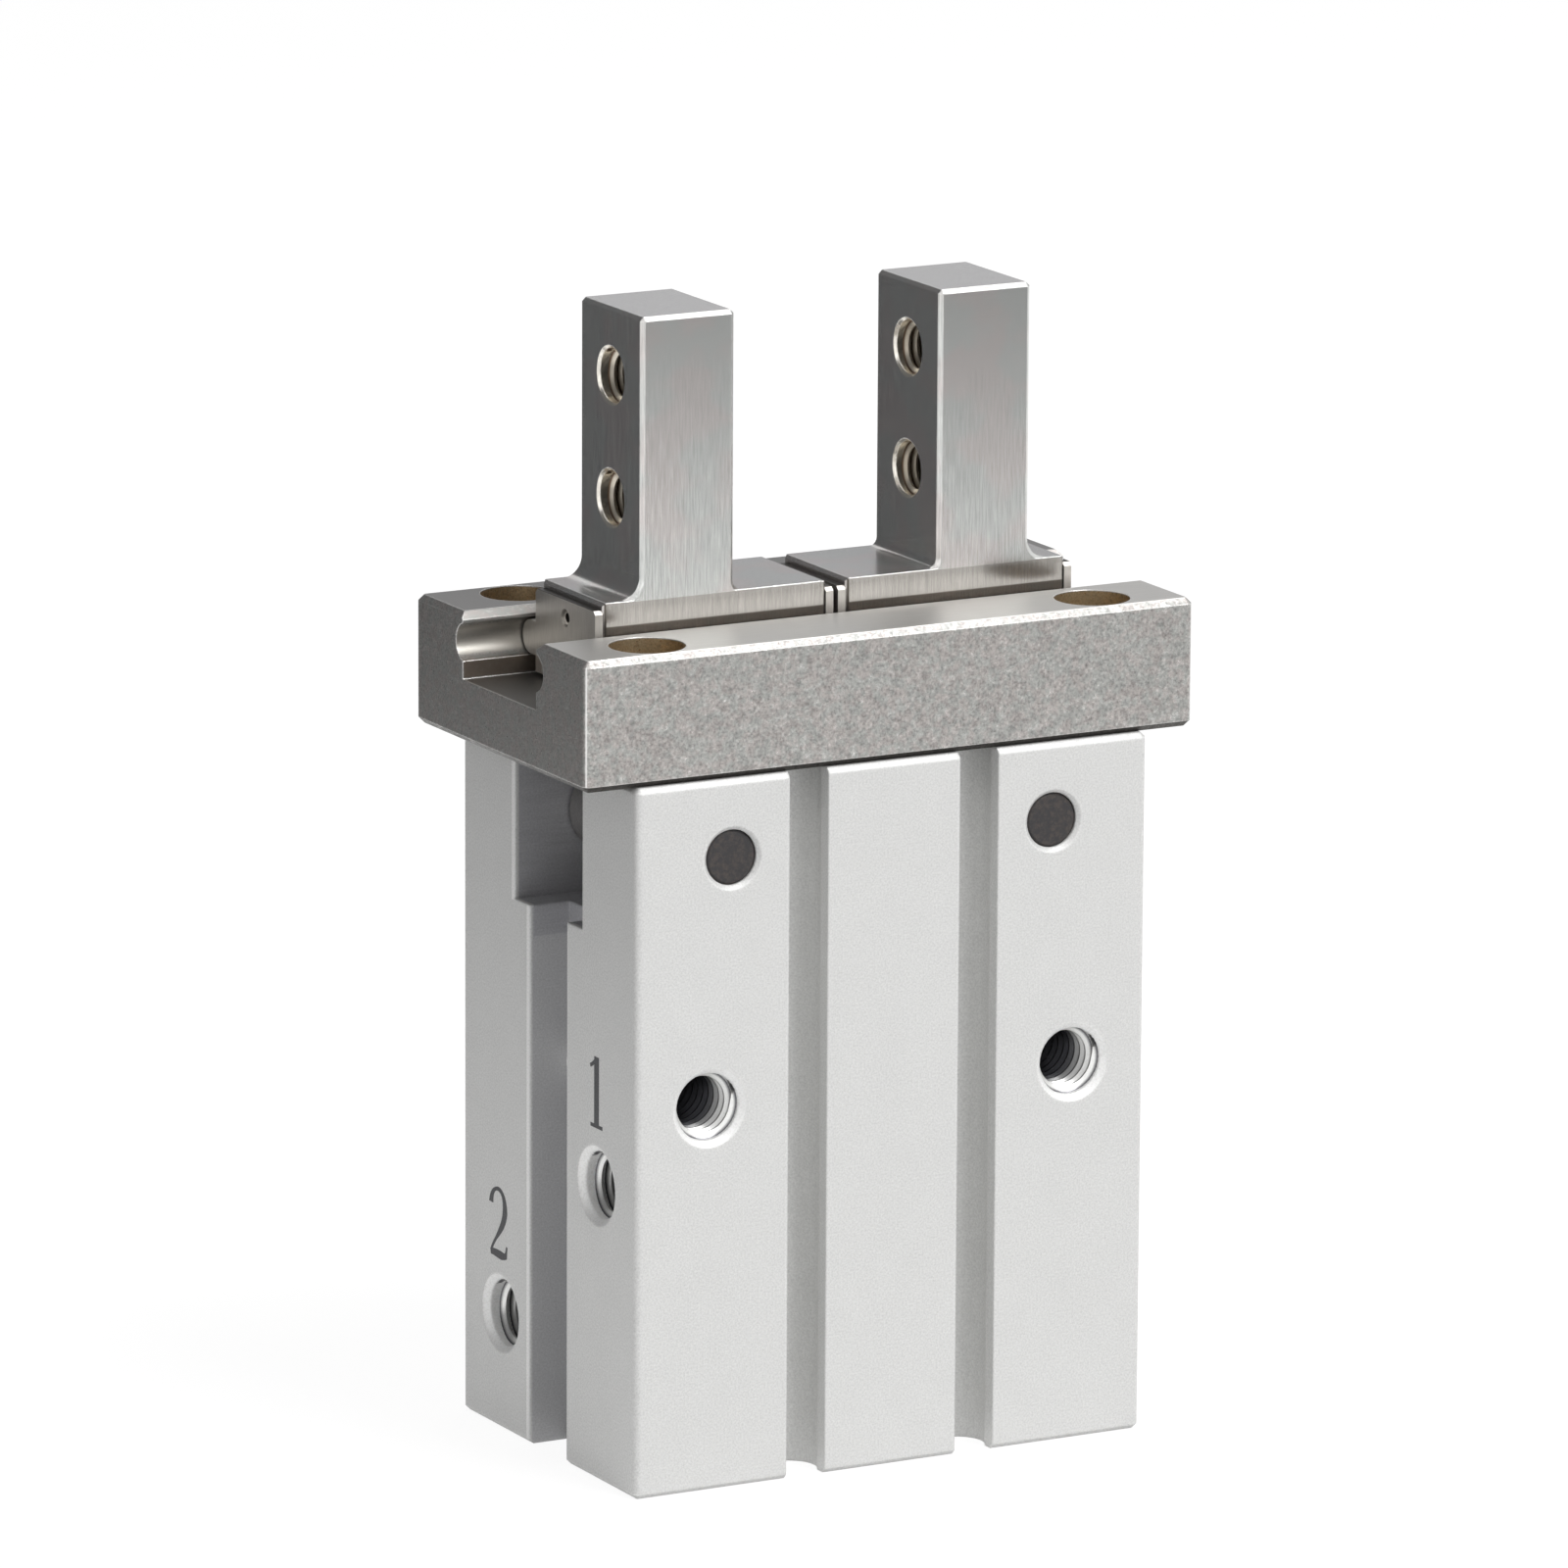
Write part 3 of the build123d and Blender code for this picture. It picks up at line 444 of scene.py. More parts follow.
def grindRailTop(tree, look, colour):
    # The ground top, whose rear land is darkened by a painted reflection
    low = railHigh.z - 0.03
    high = (railEnd, railHigh.y, railHigh.z + 1)
    ground = placeGroup(tree, zone, low=(-1.0, -1.0, low), high=high, blur=0.03)["mask"]
    rearReflection = placeGroup(tree, zone, low=(-1.0, 0.0, low), high=high, mirror=(1.0, 0.0, 0.0), blur=0.03)
    lines = placeGroup(tree, grain, size=look["groundSize"], stretch=(0.03, 1.0, 1.0),
                       amount=look["groundAmount"])
    top = mixColours(tree, 1.0, solidColour(look["top"]), grey(tree, lines["tone"]), "MULTIPLY")
    colour = mixColours(tree, ground, colour, top)
    return mixColours(tree, rearReflection["mask"], colour, solidColour(look["rearLandReflection"])), ground


def polishRailChannel(tree, look, colour):
    # The channel's floor darkened with painted shade, its polished races and the stain below them
    wall = railPlaces["channelHalfWidth"]
    floorHeight = railHigh.z - railPlaces["floorDrop"]
    shadedBed = placeGroup(tree, zone, low=(-1.0, -1.0, floorHeight - 1), blur=0.05,
                     high=(railEnd, wall - 0.03, floorHeight + 0.1))
    colour = mixColours(tree, shadedBed["mask"], colour, solidColour(look["floor"]))
    polished = placeGroup(tree, zone, low=(-1.0, -1.0, floorHeight - 1), blur=0.1,
                          high=(railEnd, wall + railPlaces["calmReach"], railHigh.z + 1))["mask"]
    for place, reach, blur in (("race", railPlaces["grooveReach"], 0.15),
                               ("stain", railPlaces["stainReach"], 0.1)):
        low, high = (railHigh.z - drop for drop in railPlaces[place + "Drop"])
        strip = placeGroup(tree, zone, low=(-1.0, wall - 0.03, low), blur=blur,
                           high=(railEnd, wall + reach, high))
        share = maths(tree, "MULTIPLY", strip["mask"], look["stripAmount"])
        colour = mixColours(tree, share, colour, solidColour(look[place]))
        polished = maths(tree, "MAXIMUM", polished, strip["mask"])
    return colour, polished


def oilRailHoles(tree, look, colour):
    holeX, holeY = railPlaces["holeCentre"]
    reach = railPlaces["holeReach"]
    hole = placeGroup(tree, zone, low=(holeX - reach, holeY - reach, railLow.z - 0.5),
                      high=(holeX + reach, holeY + reach, railHigh.z - 0.15), blur=0.1)
    oiled = maths(tree, "MULTIPLY", hole["mask"], look["oilAmount"])
    return mixColours(tree, oiled, colour, solidColour(look["oil"]))


def brightenRailEdges(tree, look, colour, wornAndLit):
    # Painted highlight on the worn edges and upright corners, above a painted shadow line at the rail's foot
    width = railPlaces["cornerWidth"]
    corner = placeGroup(tree, zone, low=(railHigh.x - width, railHigh.y - width, railLow.z),
                        high=(railHigh.x + 1, railHigh.y + 1, railHigh.z), blur=0.08)
    bright = maths(tree, "MAXIMUM", wornAndLit, corner["mask"])
    colour = mixColours(tree, bright, colour, solidColour(look["edge"]))
    # Painted shadow: a dark line along the rail's foot
    foot = placeGroup(tree, zone, low=(-1.0, -1.0, railLow.z - 1), blur=0.03,
                      high=(railHigh.x + 1, railHigh.y + 1, railLow.z + railPlaces["footHeight"]))
    return mixColours(tree, foot["mask"], colour, solidColour(look["foot"])), bright


def makeRailMaterial(look):
    # Hardened steel, mottled on the sides, ground on top, polished in the ball races
    material, tree, shader = startMaterial("mottled rail steel", look)
    fine = placeGroup(tree, grain, size=look["grainSize"], amount=look["grainAmount"])
    broad = placeGroup(tree, patches, size=look["patchSize"], amount=look["patchAmount"])
    litWornEdges = placeGroup(tree, edgeWearAndHighlight, width=look["edgeWidth"], breakup=0.25)
    colour = mottleRail(tree, look, broad["tint"])
    colour, ground = grindRailTop(tree, look, colour)
    colour, polished = polishRailChannel(tree, look, colour)
    colour = oilRailHoles(tree, look, colour)
    colour, bright = brightenRailEdges(tree, look, colour, litWornEdges["mask"])
    # Calm is where the steel is ground, polished, worn or painted bright, and shows no mottle
    calm = maths(tree, "MAXIMUM", maths(tree, "MAXIMUM", ground, polished), bright)
    tone = blend(tree, calm, maths(tree, "MULTIPLY", fine["tone"], broad["tone"]), 1.0)
    height = blend(tree, calm, fine["height"], 0.5)
    finishSurface(tree, shader, look, colour, tone, height, litWornEdges["normal"])
    return material


fingerLook = {
    "colour": (0.67, 0.662, 0.65), "edge": (0.74, 0.735, 0.725), "cut": (0.90, 0.86, 0.78),
    "tip": (0.88, 0.87, 0.855), "carriage": (0.47, 0.452, 0.428), "seamShade": (0.10, 0.082, 0.066),
    "metallic": 0.90, "roughness": 0.21,
    "lineSize": 0.12, "lineAmount": 0.20, "patchSize": 3.0, "patchAmount": 0.02,
    "edgeWidth": 0.00011, "bumpDepth": 0.010,
    "seamHeight": 0.28, "seamWidth": 0.22, "carriageHeight": 2.1, "front": 4.7,  # mm
    "seamShadeAmount": 0.85,
    "dirtAndShade": (0.17, 0.13, 0.10), "dirtAndShadeReach": 0.0008, "dirtAndShadeStart": 0.5, "dirtAndShadeAmount": 0.5,
}


def colourCarriageAndShadeSeams(tree, look, colour):
    # The carriage's front, and painted shade along the seams where it meets the rail and the end plates
    foot, top = railHigh.z, railHigh.z + look["carriageHeight"] - 0.12
    front = placeGroup(tree, zone, low=(-1.0, look["front"], foot - 1), blur=0.05,
                       high=(fingerHigh.x + 1, fingerHigh.y + 1, top))
    colour = mixColours(tree, front["mask"], colour, solidColour(look["carriage"]))
    shadedSeams = placeGroup(tree, zone, low=(-1.0, look["front"], foot - 1), blur=0.08,
                       high=(fingerHigh.x + 1, fingerHigh.y + 1, foot + look["seamHeight"]))["mask"]
    for start in (fingerLow.x - 0.1, fingerHigh.x - look["seamWidth"]):
        seamShade = placeGroup(tree, zone, low=(start, look["front"], foot - 1), blur=0.05,
                          high=(start + look["seamWidth"] + 0.1, fingerHigh.y + 1, top))
        shadedSeams = maths(tree, "MAXIMUM", shadedSeams, seamShade["mask"])
    shadedSeams = maths(tree, "MULTIPLY", shadedSeams, look["seamShadeAmount"])
    return mixColours(tree, shadedSeams, colour, solidColour(look["seamShade"]))


def makeFingerMaterial(look):
    # Ground stainless steel with an upright grain
    material, tree, shader = startMaterial("ground finger steel", look)
    lines = placeGroup(tree, grain, size=look["lineSize"], stretch=(1.0, 1.0, 0.05),
                       amount=look["lineAmount"])
    broad = placeGroup(tree, patches, size=look["patchSize"], amount=look["patchAmount"], seed=3.0)
    colour = mixColours(tree, 1.0, solidColour(look["colour"]), broad["tint"], "MULTIPLY")
    # Oil and painted shade darken the corners
    dirtAndShade = placeGroup(tree, creviceDirtAndShade, reach=look["dirtAndShadeReach"], start=look["dirtAndShadeStart"])
    soiledAndShaded = maths(tree, "MULTIPLY", dirtAndShade["mask"], look["dirtAndShadeAmount"])
    colour = mixColours(tree, soiledAndShaded, colour, solidColour(look["dirtAndShade"]))
    # Painted highlight: the top face of the finger is lighter
    tip = placeGroup(tree, zone, low=(-1.0, -1.0, fingerHigh.z - 0.05), blur=0.03,
                     high=(fingerHigh.x, fingerHigh.y, fingerHigh.z + 1))
    colour = mixColours(tree, tip["mask"], colour, solidColour(look["tip"]))
    litWornEdges = placeGroup(tree, edgeWearAndHighlight, width=look["edgeWidth"], breakup=0.15)
    colour = mixColours(tree, litWornEdges["mask"], colour, solidColour(look["edge"]))
    colour = colourCarriageAndShadeSeams(tree, look, colour)
    # Painted highlight on the bevelled mouths of the finger's tapped holes
    for height in fingerThreads["heights"].values():
        mouth = placeGroup(tree, bore, centre=(0.0, 0.0, height), scale=(0.0, 1.0, 1.0),
                           radius=mouthRadius(fingerThreads))
        colour = mixColours(tree, mouth["mask"], colour, solidColour(look["cut"]))
    tone = maths(tree, "MULTIPLY", lines["tone"], broad["tone"])
    finishSurface(tree, shader, look, colour, tone, lines["height"], litWornEdges["normal"])
    return material


# Finishes of the smaller pieces: colour, metallic, roughness, grain size, grain stretch, grain amount
smallFinishes = {
    "ball_steel": ("polished ball steel", (0.78, 0.78, 0.79), 1.0, 0.08, 0.6, (1.0, 1.0, 1.0), 0.02),
    "pin_steel": ("turned pin steel", (0.60, 0.58, 0.54), 0.95, 0.25, 0.08, (1.0, 0.1, 1.0), 0.06),
    "lever_steel": ("oiled lever steel", (0.36, 0.35, 0.34), 0.9, 0.38, 0.2, (1.0, 1.0, 1.0), 0.12),
    "screw_steel": ("oiled screw steel", (0.42, 0.36, 0.27), 0.9, 0.34, 0.2, (1.0, 1.0, 1.0), 0.12),
    "spring_steel": ("blued spring steel", (0.22, 0.22, 0.24), 0.9, 0.35, 0.15, (1.0, 1.0, 1.0), 0.1),
    "cap_aluminium": ("turned aluminium", (0.66, 0.66, 0.67), 0.6, 0.36, 0.1, (1.0, 1.0, 0.1), 0.06),
    "bush_bronze": ("sintered bronze", (0.52, 0.36, 0.19), 0.85, 0.5, 0.14, (1.0, 1.0, 1.0), 0.16),
    "seal_rubber": ("seal rubber", (0.022, 0.022, 0.024), 0.0, 0.55, 0.25, (1.0, 1.0, 1.0), 0.15),
    "magnet_rubber": ("magnet rubber", (0.055, 0.05, 0.046), 0.0, 0.62, 0.2, (1.0, 1.0, 1.0), 0.18),
    "bumper_urethane": ("cast urethane", (0.45, 0.30, 0.10), 0.0, 0.4, 0.8, (1.0, 1.0, 1.0), 0.08),
}


# What they share
smallLook = {
    "edgeWidth": 0.00012, "edgeBreakup": 0.3, "edgeGain": 1.5, "edgeAmount": 0.8,
    "dirtAndShadeReach": 0.0008, "dirtAndShadeStart": 0.4, "dirtAndShadeGain": 0.12, "bumpDepth": 0.008,
}


def makeSmallMaterial(finish):
    name, colour, metallic, roughness, size, stretch, amount = finish
    look = dict(smallLook, metallic=metallic, roughness=roughness)
    material, tree, shader = startMaterial(name, look)
    fine = placeGroup(tree, grain, size=size, stretch=stretch, amount=amount)
    litWornEdges = placeGroup(tree, edgeWearAndHighlight, width=look["edgeWidth"], breakup=look["edgeBreakup"])
    # Edge wear and painted highlight on the metal edges
    bright = tuple(min(1.0, channel * look["edgeGain"] + 0.02) for channel in colour)
    mixed = mixColours(tree, maths(tree, "MULTIPLY", litWornEdges["mask"], metallic * look["edgeAmount"]),
                       solidColour(colour), solidColour(bright))
    # Dirt and painted shade darken the corners
    dirtAndShade = placeGroup(tree, creviceDirtAndShade, reach=look["dirtAndShadeReach"], start=look["dirtAndShadeStart"])
    dark = tuple(channel * look["dirtAndShadeGain"] for channel in colour)
    mixed = mixColours(tree, dirtAndShade["mask"], mixed, solidColour(dark))
    finishSurface(tree, shader, look, mixed, fine["tone"], fine["height"])
    return material


plateLook = {
    "colour": (0.60, 0.575, 0.54), "top": (0.045, 0.04, 0.036), "edge": (0.85, 0.82, 0.78),
    "metallic": 0.85, "roughness": 0.34, "lineSize": 0.12, "lineAmount": 0.08, "bumpDepth": 0.008,
    "edgeWidth": 0.00012, "edgeAmount": 0.6, "dirtAndShadeReach": 0.0008, "dirtAndShadeStart": 0.4,
}


def makePlateMaterial(look):
    # Stamped steel, bright on its faces, with painted shade on its top edge and in its corners
    material, tree, shader = startMaterial("stamped plate steel", look)
    lines = placeGroup(tree, grain, size=look["lineSize"], stretch=(1.0, 1.0, 0.1),
                       amount=look["lineAmount"])
    dirtAndShade = placeGroup(tree, creviceDirtAndShade, reach=look["dirtAndShadeReach"], start=look["dirtAndShadeStart"])
    # Painted shade in the corners, in the near black top colour
    colour = mixColours(tree, dirtAndShade["mask"], solidColour(look["colour"]), solidColour(look["top"]))
    litWornEdges = placeGroup(tree, edgeWearAndHighlight, width=look["edgeWidth"], breakup=0.3)
    wornAndLit = maths(tree, "MULTIPLY", litWornEdges["mask"], look["edgeAmount"])
    colour = mixColours(tree, wornAndLit, colour, solidColour(look["edge"]))
    # Painted shade: the top face is near black
    cut = placeGroup(tree, zone, low=(-1.0, -1.0, plateTop - 0.02), blur=0.02,
                     high=(railHigh.x, railHigh.y, plateTop + 1))
    colour = mixColours(tree, cut["mask"], colour, solidColour(look["top"]))
    finishSurface(tree, shader, look, colour, lines["tone"], lines["height"])
    return material


plugLook = {
    "colour": (0.030, 0.028, 0.030), "fleck": (0.085, 0.066, 0.055),
    "metallic": 0.0, "roughness": 0.42, "fleckSize": 0.35, "bumpDepth": 0.05, "bumpStrength": 0.6,
}


def makePlugMaterial(look):
    # Black resin, poured in, with brown flecks and a slightly uneven skin
    material, tree, shader = startMaterial("plug resin", look)
    flecks = placeGroup(tree, patches, size=look["fleckSize"], amount=0.18, seed=1.5)
    fine = placeGroup(tree, grain, size=0.12, amount=0.15)
    colour = mixColours(tree, maths(tree, "MULTIPLY", flecks["mask"], 0.5),
                        solidColour(look["colour"]), solidColour(look["fleck"]))
    finishSurface(tree, shader, look, colour, fine["tone"], flecks["tone"])
    return material


threadLooks = {
    # The crest colour is a painted highlight; the root and deep colours are painted shade, with oil
    "body": {"crest": (0.95, 0.95, 0.93), "root": (0.11, 0.11, 0.12), "deepShade": (0.03, 0.03, 0.035),
             "metallic": 0.75, "roughness": 0.30},
    "finger": {"crest": (0.86, 0.79, 0.67), "root": (0.12, 0.07, 0.04), "deepShade": (0.04, 0.03, 0.02),
               "metallic": 0.85, "roughness": 0.30},
}


def makeThreadMaterial(name, look):
    # Cut thread: painted highlight on the crests, dark roots of oil and painted shade, and painted shade
    # further in. The mesh carries the height of the thread and its nearness to the mouth as the attributes
    # crest and near
    look = dict(look, bumpDepth=0.01)
    material, tree, shader = startMaterial(name, look)
    height = addNode(tree, "Attribute", attribute_name="crest")
    near = addNode(tree, "Attribute", attribute_name="near")
    crest = remap(tree, height.outputs["Fac"], 0.08, 0.60)
    colour = mixColours(tree, crest, solidColour(look["root"]), solidColour(look["crest"]))
    colour = mixColours(tree, near.outputs["Fac"], solidColour(look["deepShade"]), colour)
    fine = placeGroup(tree, grain, size=0.08, amount=0.12)
    finishSurface(tree, shader, look, colour, fine["tone"], fine["height"])
    return material


markLook = {"colour": (0.085, 0.085, 0.09), "metallic": 0.0, "roughness": 0.6, "bumpDepth": 0.003}


def makeMarkMaterial(look):
    # Dark lasered mark on the anodised face
    material, tree, shader = startMaterial("dark mark", look)
    fine = placeGroup(tree, grain, size=0.10, amount=0.22)
    finishSurface(tree, shader, look, solidColour(look["colour"]), fine["tone"], fine["height"])
    return material


slotMaterials = {slot: makeSmallMaterial(finish) for slot, finish in smallFinishes.items()}
slotMaterials["anodised_body"] = makeBodyMaterial(bodyLook)
slotMaterials["rail_steel"] = makeRailMaterial(railLook)
slotMaterials["finger_steel"] = makeFingerMaterial(fingerLook)
slotMaterials["plug_resin"] = makePlugMaterial(plugLook)
slotMaterials["plate_steel"] = makePlateMaterial(plateLook)

for part in frame["record"]["subparts"]:
    for holder in frame["nodes"][part["node"]].material_slots:
        holder.material = slotMaterials[part["material_slot"]]
print("materials given to the", len(frame["nodes"]), "nodes")


# Cut threads in the tapped holes

threadShape = {
    "segments": 44,        # steps per turn
    "depthShare": 0.54,    # thread height as a share of the pitch
    "rootWidth": 0.94,     # widths as shares of the pitch
    "crestWidth": 0.16,
    "rootOverlap": 0.015,  # mm that the root reaches into the wall
    "leadTurns": 0.15,     # turns over which the thread rises at each end
    "darkAfter": 0.8,      # depth at which the painted shade in a hole is full, as a share of its diameter
}


def smooth(value):
    value = min(1.0, max(0.0, value))
    return value * value * (3 - 2 * value)


def makeThread(name, body, material, mouth, inward, threads, depth, through=False):
    # A helical ridge on the wall of a hole, from the end of its bevelled mouth inward
    shape = threadShape
    inward = Vector(inward).normalized()
    across = inward.orthogonal().normalized()
    upward = inward.cross(across)
    pitch, bevel = threads["pitch"], threads["bevel"]
    radius = threads["diameter"] / 2 + shape["rootOverlap"]
    ridge = pitch * shape["depthShare"] + shape["rootOverlap"]
    first = bevel + pitch / 2
    turns = (depth - (bevel if through else 0) - pitch / 2 - first) / pitch
    steps = int(turns * shape["segments"])
    mesh = bmesh.new()
    crest = mesh.verts.layers.float.new("crest")
    near = mesh.verts.layers.float.new("near")
    rows = []
    for step in range(steps + 1):
        turn = turns * step / steps
        rise = smooth(turn / shape["leadTurns"]) * smooth((turns - turn) / shape["leadTurns"])
        angle = turn * 2 * math.pi
        outward = across * math.cos(angle) + upward * math.sin(angle)
        row = []
        for height, width in ((0.0, -shape["rootWidth"]), (rise, -shape["crestWidth"]),
                              (rise, shape["crestWidth"]), (0.0, shape["rootWidth"])):
            along = first + (turn + width / 2) * pitch
            place = Vector(mouth) + outward * (radius - ridge * max(height, 0.02)) + inward * along
            vertex = mesh.verts.new(place * mm)
            vertex[crest] = height
            away = min(along, depth - along) if through else along
            vertex[near] = 1 - smooth((away - bevel) / (shape["darkAfter"] * threads["diameter"]))
            row.append(vertex)
        rows.append(row)
    for before, after in zip(rows, rows[1:]):
        for corner in range(4):
            other = (corner + 1) % 4
            mesh.faces.new((before[corner], before[other], after[other], after[corner]))
    mesh.faces.new(rows[0])
    mesh.faces.new(reversed(rows[-1]))
    bmesh.ops.recalc_face_normals(mesh, faces=mesh.faces)
    return finishPiece(name, mesh, body, material, smoothAngle=35)


def finishPiece(name, mesh, body, material, smoothAngle=None):
    data = bpy.data.meshes.new(name)
    mesh.to_mesh(data)
    mesh.free()
    data.materials.append(material)
    if smoothAngle:
        data.polygons.foreach_set("use_smooth", [True] * len(data.polygons))
        data.set_sharp_from_angle(angle=math.radians(smoothAngle))
    piece = bpy.data.objects.new(name, data)
    bpy.context.scene.collection.objects.link(piece)
    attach(piece, body)
    return piece


bodyThread = makeThreadMaterial("cut thread in aluminium", threadLooks["body"])
fingerThread = makeThreadMaterial("cut thread in steel", threadLooks["finger"])

for side, x in (("left", -1), ("right", 1)):
    for face, y, inward in (("front", bodyLow.y, 1), ("back", bodyHigh.y, -1)):
        mouth = (x * mountThreads["spacing"] / 2, y, mountThreads["height"])
        makeThread(f"thread_{face}_{side}", "housing", bodyThread, mouth, (0, inward, 0),
                   mountThreads, mountThreads["depth"])

for port, y in (("close", -1), ("open", 1)):
    mouth = (bodyLow.x, y * portThreads["offset"], portThreads[port])
    makeThread(f"thread_{port}_port", "housing", bodyThread, mouth, (1, 0, 0),
               portThreads, portThreads["depth"])

for number, (x, y) in enumerate(((-1, -1), (1, -1), (1, 1), (-1, 1)), start=1):
    mouth = (x * baseThreads["spacingX"] / 2, y * baseThreads["spacingY"] / 2, 0.0)
    makeThread(f"thread_base_{number}", "housing", bodyThread, mouth, (0, 0, 1),
               baseThreads, baseThreads["depth"])

for side, x in (("left", -1), ("right", 1)):
    for place, z in fingerThreads["heights"].items():
        makeThread(f"thread_finger_{side}_{place}", f"{side}_finger", fingerThread,
                   (x * fingerThreads["outer"], 0, z), (-x, 0, 0), fingerThreads,
                   fingerThreads["outer"] - fingerThreads["inner"], through=True)
print("threads cut")


# Marks above the two air ports: plain digits

markShape = {
    "height": 5.3, "width": 3.0,
    "thin": 0.28, "thick": 0.74,  # stroke widths in mm
    "proud": 0.012, "sunk": 0.02,
    "oneCentre": (-7.65, 29.05),  # Y and Z in mm
    "twoCentre": (8.0, 15.6),
}


def bezierPoint(start, firstPull, secondPull, end, way):
    left = 1 - way
    return (start * left ** 3 + firstPull * 3 * left * left * way
            + secondPull * 3 * left * way * way + end * way ** 3)


def strokeOutline(corners, widths, steps=14):
    # A stroke along one Bezier curve, whose width goes through the given values
    corners = [Vector(corner) for corner in corners]
    left, right = [], []
    for step in range(steps + 1):
        way = step / steps
        here = bezierPoint(*corners, way)
        ahead = bezierPoint(*corners, min(1.0, way + 0.01)) - bezierPoint(*corners, max(0.0, way - 0.01))
        side = Vector((-ahead.y, ahead.x)).normalized()
        place = way * (len(widths) - 1)
        index = min(int(place), len(widths) - 2)
        width = widths[index] + (widths[index + 1] - widths[index]) * (place - index)
        left.append(here + side * width / 2)
        right.append(here - side * width / 2)
    return left + right[::-1]


def makeMark(name, centre, outlines):
    # Thin plates just proud of the left face; drawn x runs from the back to the front
    mesh = bmesh.new()
    face = bodyLow.x
    for level, outline in enumerate(outlines):
        proud = markShape["proud"] + level * 0.001  # crossing strokes lie at slightly different heights
        layers = []
        for x in (face - proud, face + markShape["sunk"]):
            layers.append([mesh.verts.new(Vector((x, centre[0] - point.x, centre[1] + point.y)) * mm)
                           for point in outline])
        mesh.faces.new(layers[0])
        mesh.faces.new(layers[1][::-1])
        count = len(outline)
        for index in range(count):
            other = (index + 1) % count
            mesh.faces.new((layers[0][index], layers[1][index], layers[1][other], layers[0][other]))
    bmesh.ops.recalc_face_normals(mesh, faces=mesh.faces)
    return finishPiece(name, mesh, "housing", markMaterial)


def barOutline(left, right, bottom, top):
    return [Vector(corner) for corner in ((left, bottom), (right, bottom), (right, top), (left, top))]


def digitOne(shape):
    up, out, thin, thick = shape["height"] / 2, shape["width"] / 2, shape["thin"], shape["thick"]
    stem = barOutline(-thick / 2, thick / 2, -up + thin / 2, up)
    foot = barOutline(-out * 0.62, out * 0.62, -up, -up + thin)
    flag = strokeOutline([(-out * 0.66, up * 0.70), (-out * 0.40, up * 0.76), (-out * 0.15, up * 0.86),
                          (0, up * 0.97)], [thin, thin * 1.1, thick * 0.5])
    return [stem, foot, flag]


def digitTwo(shape):
    up, out, thin, thick = shape["height"] / 2, shape["width"] / 2, shape["thin"], shape["thick"]

    def stroke(corners, widths):
        return strokeOutline([(x * out, y * up) for x, y in corners], widths)

    bow = stroke([(-0.78, 0.52), (-0.74, 1.14), (0.80, 1.18), (0.70, 0.36)],
                 [thick * 0.9, thin, thin * 1.4, thick])
    sweep = stroke([(0.70, 0.38), (0.62, -0.10), (-0.45, -0.45), (-0.80, -0.88)],
                   [thick, thick * 0.8, thin, thin])
    foot = stroke([(-0.84, -0.90), (-0.30, -0.84), (0.30, -0.94), (0.84, -0.86)],
                  [thin * 1.6, thick * 0.8, thick * 0.9, thin * 1.4])
    tip = stroke([(0.74, -0.90), (0.82, -0.80), (0.86, -0.70), (0.90, -0.58)],
                 [thick * 0.7, thin, thin * 0.8])
    return [bow, sweep, foot, tip]


markMaterial = makeMarkMaterial(markLook)
makeMark("mark_1", markShape["oneCentre"], digitOne(markShape))
makeMark("mark_2", markShape["twoCentre"], digitTwo(markShape))
print("marks drawn")


# Studio: pale floor, soft lamps, and dark cards that only reflections see

studioLook = {
    "worldLight": 0.24,       # light from all round
    "floorSize": 3.0,         # metres
    "floorColour": (0.92, 0.92, 0.92),
    "floorGlow": 0.80,        # share of plain white in what the camera sees
    "floorWhite": 1.13,       # strength of that white
}


def backgroundRays(tree):
    # 1 for rays of the camera, of reflections and through glass
    path = addNode(tree, "LightPath")
    seen = maths(tree, "MAXIMUM", path.outputs["Is Camera Ray"], path.outputs["Is Glossy Ray"])
    return maths(tree, "MAXIMUM", seen, path.outputs["Is Transmission Ray"])


def makeWorld(look):
    world = bpy.data.worlds.new("studio")
    world.use_nodes = True
    tree = world.node_tree
    tree.nodes.clear()
    background = addNode(tree, "Background")
    background.inputs["Color"].default_value = (1.0, 1.0, 1.0, 1.0)
    strength = remap(tree, backgroundRays(tree), 0.0, 1.0, look["worldLight"], 1.0)
    feed(tree, strength, background.inputs["Strength"])
    output = addNode(tree, "OutputWorld")
    tree.links.new(background.outputs[0], output.inputs["Surface"])
    bpy.context.scene.world = world


def makeFloor(look):
    material = bpy.data.materials.new("pale floor")
    material.use_nodes = True
    tree = material.node_tree
    tree.nodes.clear()
    matte = addNode(tree, "BsdfDiffuse")
    matte.inputs["Color"].default_value = solidColour(look["floorColour"])
    white = addNode(tree, "Emission")
    white.inputs["Strength"].default_value = look["floorWhite"]
    mix = addNode(tree, "MixShader")
    feed(tree, maths(tree, "MULTIPLY", backgroundRays(tree), look["floorGlow"]), mix.inputs[0])
    tree.links.new(matte.outputs[0], mix.inputs[1])
    tree.links.new(white.outputs[0], mix.inputs[2])
    output = addNode(tree, "OutputMaterial")
    tree.links.new(mix.outputs[0], output.inputs["Surface"])
    mesh = bmesh.new()
    bmesh.ops.create_circle(mesh, cap_ends=True, radius=look["floorSize"], segments=96)
    data = bpy.data.meshes.new("floor")
    mesh.to_mesh(data)
    mesh.free()
    data.materials.append(material)
    floor = bpy.data.objects.new("floor", data)
    bpy.context.scene.collection.objects.link(floor)


